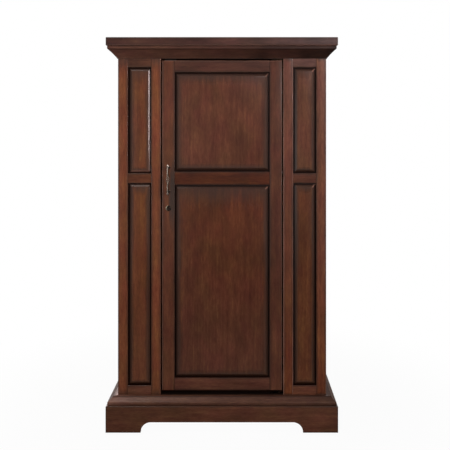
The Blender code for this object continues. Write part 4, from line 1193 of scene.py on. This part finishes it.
def heads(name, points, place, radius, height, body="cabinet", screw=False):
    """Steel heads at (x, y) points of a plane that place maps to the world. Their size is in mm."""
    seed = bmesh.new()
    for x, y in points:
        seed.verts.new((x, y, 0))
    sizes = {"Head Radius": radius * MM, "Head Height": height * MM, "Screw": screw}
    make_piece(name, moved(grown(HEADS, seed, sizes, steel), place), body, steel)


def fixings():
    """Nails of the back panel, shelf pins and the catch's screws."""
    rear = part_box("back_panel")[1].y
    rows = [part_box(node)[0].z + SHELF_HALF for node in
            ("carcass_top", "carcass_bottom", "counter_shelf", "bottle_shelf")]
    points = [((i - NAILS // 2) * NAIL_PITCH, row) for row in rows for i in range(NAILS)]
    heads("back_panel_nails", points, lambda x, y, z: (x, rear + z, y), 2, 0.7)
    for name in ("counter_shelf", "bottle_shelf"):
        low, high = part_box(name)
        points = [(y, low.z - 2.9 * MM) for y in (low.y + 45 * MM, high.y - 45 * MM)]
        for side_name, side in SIDES:
            heads(f"{name}_{side_name}_pins", points,
                  lambda x, y, z: (side * (INSIDE_HALF - z), x, y), 2.5, 9)
    low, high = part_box("catch_plate")
    points = [(x, (low.z + high.z) / 2) for x in (low.x + 8 * MM, high.x - 8 * MM)]
    heads("catch_plate_screws", points, lambda x, y, z: (x, high.y + z, y), 3, 1.2, "door", True)


# Pull and lock, in mm

PULL_STAND = 27                    # from the door to the bar's middle
PULL_CENTRES = 48                  # from the pull's middle to each post
BASKET_HALF = 15
# (radius, distance) of half of the bar from its tip to the basket, of a post and of the lock's rim
PULL_HALF = [(0.0, 62), (0.9, 61.6), (2.2, 59.8), (3.6, 57.4), (4.6, 55), (4.2, 53.2), (2.6, 51.8),
             (2.4, 51.1), (3.4, 50.5), (3.5, 49.6), (2.5, 48.8), (2.7, 45), (3.2, 38), (3.1, 30),
             (2.6, 20.4), (2.5, 19.2), (3.9, 18.6), (4.3, 17.6), (3.9, 16.5), (2.4, 15.6), (1.2, 14.2),
             (0.0, 13.4)]
POST = [(0.0, 0.3), (7.0, 0.3), (7.5, 0.8), (7.3, 1.8), (6.2, 2.6), (5.6, 3.0), (5.0, 3.1), (4.2, 4.0),
        (3.6, 6.0), (3.1, 10), (2.8, 16), (3.0, 19), (3.8, 20.2), (3.8, 21.0), (2.9, 22), (2.4, 24.5),
        (0.0, 25.4)]
LOCK_RIM = [(5.3, 1.6), (6.0, 2.15), (6.8, 2.45), (8.0, 2.5), (9.2, 2.25), (10.2, 1.6), (10.8, 0.8),
            (11.0, 0.0), (8.0, 0.0)]
KEYWAY = [(-0.75, -3.1), (0.75, -3.1), (0.75, 0.6), (1.35, 0.9), (1.35, 1.7), (0.75, 2.0), (0.75, 3.1),
          (-0.75, 3.1)]
BAR_SIDES, RIM_SIDES, PLUG_SIDES = 28, 48, 40
KEYWAY_DEPTH = 3.0
PLUG_RADIUS = 5.0
PLUG_TOP = 1.7                     # how far the plug stands out


def fitting(name, bm, body, material, node):
    return make_piece(name, bm, body, material, (node,))


def paint_left_highlight(piece, amount, reach=None, tip=None):
    """Paint a highlight on the left of a fitting, the side lit by the lamps at the left.

    reach is the X place up to which it is painted. tip(height) tells what lies in a tip, which gets a little
    painted highlight in front too.
    """
    shares = []
    for vert in piece.data.vertices:
        share = max(0.0, -vert.normal.x) if reach is None or vert.co.x < reach else 0.0
        if tip and tip(vert.co.z):
            share = max(share, -0.38 * vert.normal.y)
        shares.append(amount * share)
    mark(piece.data, "worn", "FLOAT", "POINT", shares)


def pull():
    """Slender bar pull with a basket of twisted wires between two turned and pointed lengths."""
    centre_x, centre_z = (PULL_LOW.x + PULL_HIGH.x) / 2, (PULL_LOW.z + PULL_HIGH.z) / 2

    def place(x, y, z):
        return (centre_x + x, FRONT - PULL_STAND * MM + y, centre_z + z)

    for name, sign, amount in (("upper", 1, 2.6), ("lower", -1, 1.6)):
        bm = turned(at((0, 0), [(radius, sign * up) for radius, up in PULL_HALF]), BAR_SIDES)
        paint_left_highlight(fitting(f"pull_{name}_bar", moved(bm, place), "door", pewter, "door_handle"), amount, None,
                  lambda z: sign * (z - centre_z) > PULL_CENTRES * MM)
    sizes = {"Wires": 4, "Length": 2 * (BASKET_HALF + 1) * MM, "Turns": 0.75, "End Radius": 1.5 * MM,
             "Middle Radius": 6.4 * MM, "Wire Radius": 1.15 * MM}
    bm = grown(BASKET, bmesh.new(), sizes, pewter)
    paint_left_highlight(fitting("pull_basket", moved(bm, place), "door", pewter, "door_handle"), 3.0)
    posts = []
    for sign in (-1, 1):
        up = centre_z + sign * PULL_CENTRES * MM
        posts.append(moved(turned(at((0, 0), POST), BAR_SIDES),
                           lambda x, y, z: (centre_x + x, FRONT - z, up + y)))
    fitting("pull_posts", joined(posts), "door", pewter, "door_handle")


def plug_face():
    """The plug's round face with its keyway through it, as a bmesh around its middle."""
    curve = bpy.data.curves.new("plug_face", "CURVE")
    curve.dimensions = "2D"
    curve.fill_mode = "BOTH"
    curve.extrude = KEYWAY_DEPTH / 2 * MM
    for points in (arc((0, 0), PLUG_RADIUS * MM, 0, 360, PLUG_SIDES)[:-1], at((0, 0), KEYWAY)):
        spline = curve.splines.new("POLY")
        spline.points.add(len(points) - 1)
        for point, (x, y) in zip(spline.points, points):
            point.co = (x, y, 0, 1)
        spline.use_cyclic_u = True
    bm = flattened(new_object("plug_face", curve))
    bmesh.ops.remove_doubles(bm, verts=bm.verts[:], dist=WELD)
    return bm


def lock():
    """The cam lock's rim, and the plug with its keyway."""
    low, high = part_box("lock_housing")
    centre_x, centre_z = (low.x + high.x) / 2, (low.z + high.z) / 2
    face = FRONT - JOINT_GAP
    rear = face - high.y

    def place(x, y, z):
        return (centre_x + x, face - z, centre_z + y)

    rim = [(LOCK_RIM[0][0] * MM, rear)] + at((0, 0), LOCK_RIM) + [(LOCK_RIM[-1][0] * MM, rear)]
    bm = moved(turned(rim, RIM_SIDES, closed=True), place)
    # The rim's bright crescent is a painted highlight on its left half
    paint_left_highlight(fitting("lock_rim", bm, "door", dark_pewter, "lock_housing"), 3.0, centre_x)

    front = moved(plug_face(), lambda x, y, z: place(x, y, (PLUG_TOP - KEYWAY_DEPTH / 2) * MM + z))
    radius, step, end = PLUG_RADIUS * MM, (PLUG_TOP - KEYWAY_DEPTH) * MM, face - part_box("lock_plug")[1].y
    barrel = turned([(0.0, step), (radius, step), (radius, end), (0.0, end)], PLUG_SIDES)
    moved(barrel, lambda x, y, z: place(x, y, z - 0.02 * MM))
    fitting("lock_plug_keyway", joined([front, barrel]), "lock_core", dark_pewter, "lock_plug")


def carried_over():
    """Better finishes for the CAD pieces whose shape is right."""
    finishes = ((cherry_inside_board, ("carcass_top", "carcass_bottom", "base_deck")),
                (painted_gap_shadow, ("door_stop_top", "door_stop_bottom")), (backing, ("back_panel",)),
                (black_plastic, ("magnetic_catch",)), (steel, ("catch_plate", "lock_nut", "lock_cam")),
                (bronze, ("upper_frame_pivot", "lower_frame_pivot", "upper_door_pivot", "lower_door_pivot")))
    for material, nodes in finishes:
        for node in nodes:
            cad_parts[node].material_slots[0].material = material


# Studio: each lamp's place, aim, width and height, power, colour and spread in degrees

LAMPS = {
    "key_right": ((1.33, -1.69, 1.62), (-0.33, -0.2, 1.40), (0.2, 1.16), 5.8, "#FBECEC", 70),
    "overhead_left": ((-0.82, -1.42, 2.75), (-0.2, -0.2, 0.9), (0.8, 0.4), 3.2, "#FFFAF6", 120),
    "overhead_front": ((-0.85, -0.72, 2.7), (-0.4, -0.3, 0.0), (0.8, 0.3), 2.5, "#FFFAF6", 90),
    "front_strip": ((1.25, -3.3, 2.0), (0.2, -0.2, 1.4), (1.4, 0.35), 5.4, "#FFFFFF", 120),
    "left_fill": ((-1.9, -2.4, 0.95), (-0.3, -0.2, 0.7), (0.3, 1.0), 6.8, "#FFFFFF", 120),
    "left_rim": ((-0.95, 1.9, 0.95), (-0.46, 0.0, 0.15), (0.6, 0.6), 0.87, "#FFDDD5", 50),
    "low_right": ((1.3, -2.4, 0.55), (0.30, -0.2, 0.18), (0.4, 0.4), 0.5, "#FFFFFF", 30),
    "back_fill": ((0.6, 2.8, 2.2), (0.0, 0.2, 0.8), (1.6, 1.4), 16, "#FFFFFF", 180),
}
FLOOR_RADIUS = 3.2
FLOOR_SIDES = 96
FLOOR_DROP = 0.0005                # keeps the floor from cutting the feet
FLOOR_FADE = (0.55, 1.5)           # distances between which the floor turns all white to the camera
FLOOR_WHITE = (0.96, 1.0)          # how white it is at either
DIM_LIGHT = 0.08                   # of the world on the object itself
WHITE = linear("#FFFFFF")


def softbox(name, place, aim, size, power, colour, spread):
    lamp = bpy.data.lights.new(name, "AREA")
    lamp.shape = "RECTANGLE"
    lamp.size, lamp.size_y = size
    lamp.energy = power
    lamp.spread = math.radians(spread)      # of the light, held in by the box's grid
    lamp.color = linear(colour)[:3]
    stand = new_object(name, lamp)
    stand.location = place
    stand.rotation_euler = (Vector(aim) - Vector(place)).to_track_quat("-Z", "Y").to_euler()


def white_room():
    """A world that the camera and reflections see as white, and that lights the object little."""
    world = bpy.data.worlds.new("studio")
    world.use_nodes = True
    bpy.context.scene.world = world
    tree = world.node_tree
    tree.nodes.clear()
    rays = add(tree, "ShaderNodeLightPath").outputs
    seen = calc(tree, "MAXIMUM", rays["Is Camera Ray"], rays["Is Glossy Ray"])
    seen = calc(tree, "MAXIMUM", seen, rays["Is Transmission Ray"])
    dim, bright = [add(tree, "ShaderNodeBackground", {"Color": WHITE, "Strength": strength})
                   for strength in (DIM_LIGHT, 1.0)]
    add(tree, "ShaderNodeOutputWorld",
        {"Surface": add(tree, "ShaderNodeMixShader", {0: seen, 1: dim, 2: bright})})


def paper_floor():
    """A pale floor that keeps the object's shadow and fades to white around it."""
    bm = bmesh.new()
    bmesh.ops.create_circle(bm, cap_ends=True, radius=FLOOR_RADIUS, segments=FLOOR_SIDES)
    floor = new_object("studio_floor", new_mesh("studio_floor", bm))
    floor.location.z = -FLOOR_DROP
    material, tree, shader = new_material("paper_roll_white")
    feed(tree, shader, {"Base Color": linear("#DCDCDC"), "Roughness": 0.9, "Specular IOR Level": 0.1})
    distance = vector_calc(tree, "LENGTH", object_place(tree)).outputs["Value"]
    near_share = remap(tree, distance, FLOOR_FADE, FLOOR_WHITE, smooth=True)
    clear = calc(tree, "MULTIPLY", near_share, add(tree, "ShaderNodeLightPath").outputs["Is Camera Ray"])
    glow = add(tree, "ShaderNodeEmission", {"Color": WHITE, "Strength": 1.0})
    output = next(node for node in tree.nodes if node.type == "OUTPUT_MATERIAL")
    feed(tree, output, {"Surface": add(tree, "ShaderNodeMixShader", {0: clear, 1: shader, 2: glow})})
    floor.data.materials.append(material)


def studio():
    for name, lamp in LAMPS.items():
        softbox(name, *lamp)
    white_room()
    paper_floor()


def camera():
    lens = bpy.data.cameras.new("photo")
    lens.sensor_width = SENSOR_WIDTH
    lens.lens = LENS
    half = PHOTO_PIXELS / 2
    lens.shift_x = (half - VANISHING_PIXEL[0]) / PHOTO_PIXELS
    lens.shift_y = (VANISHING_PIXEL[1] - half) / PHOTO_PIXELS
    lens.dof.use_dof = False
    eye = new_object("photo", lens)
    eye.location = CAMERA_PLACE
    eye.rotation_euler = (math.radians(90), 0, 0)
    bpy.context.scene.camera = eye


camera()
pilasters()
door_leaf()
side_walls()
cornice_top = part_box("cornice_front")[1].z
base_foot, base_top = [corner.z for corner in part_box("base_moulding_front")]
# Painted light: the cornice and the base moulding are lighter towards their left ends
mouldings("cornice", cornice_profile(), [cornice_top, cornice_top - FASCIA], (0.52, 0))
mouldings("base_moulding", base_profile(), [base_foot, base_top - 1.5 * MM], (0.50, 0), BASE_END_HIGHLIGHT)
top_board()
plinth()
shelves()
wine_racks()
stemware_rack()
fixings()
pull()
lock()
carried_over()
studio()
bpy.context.scene.view_settings.view_transform = "Standard"
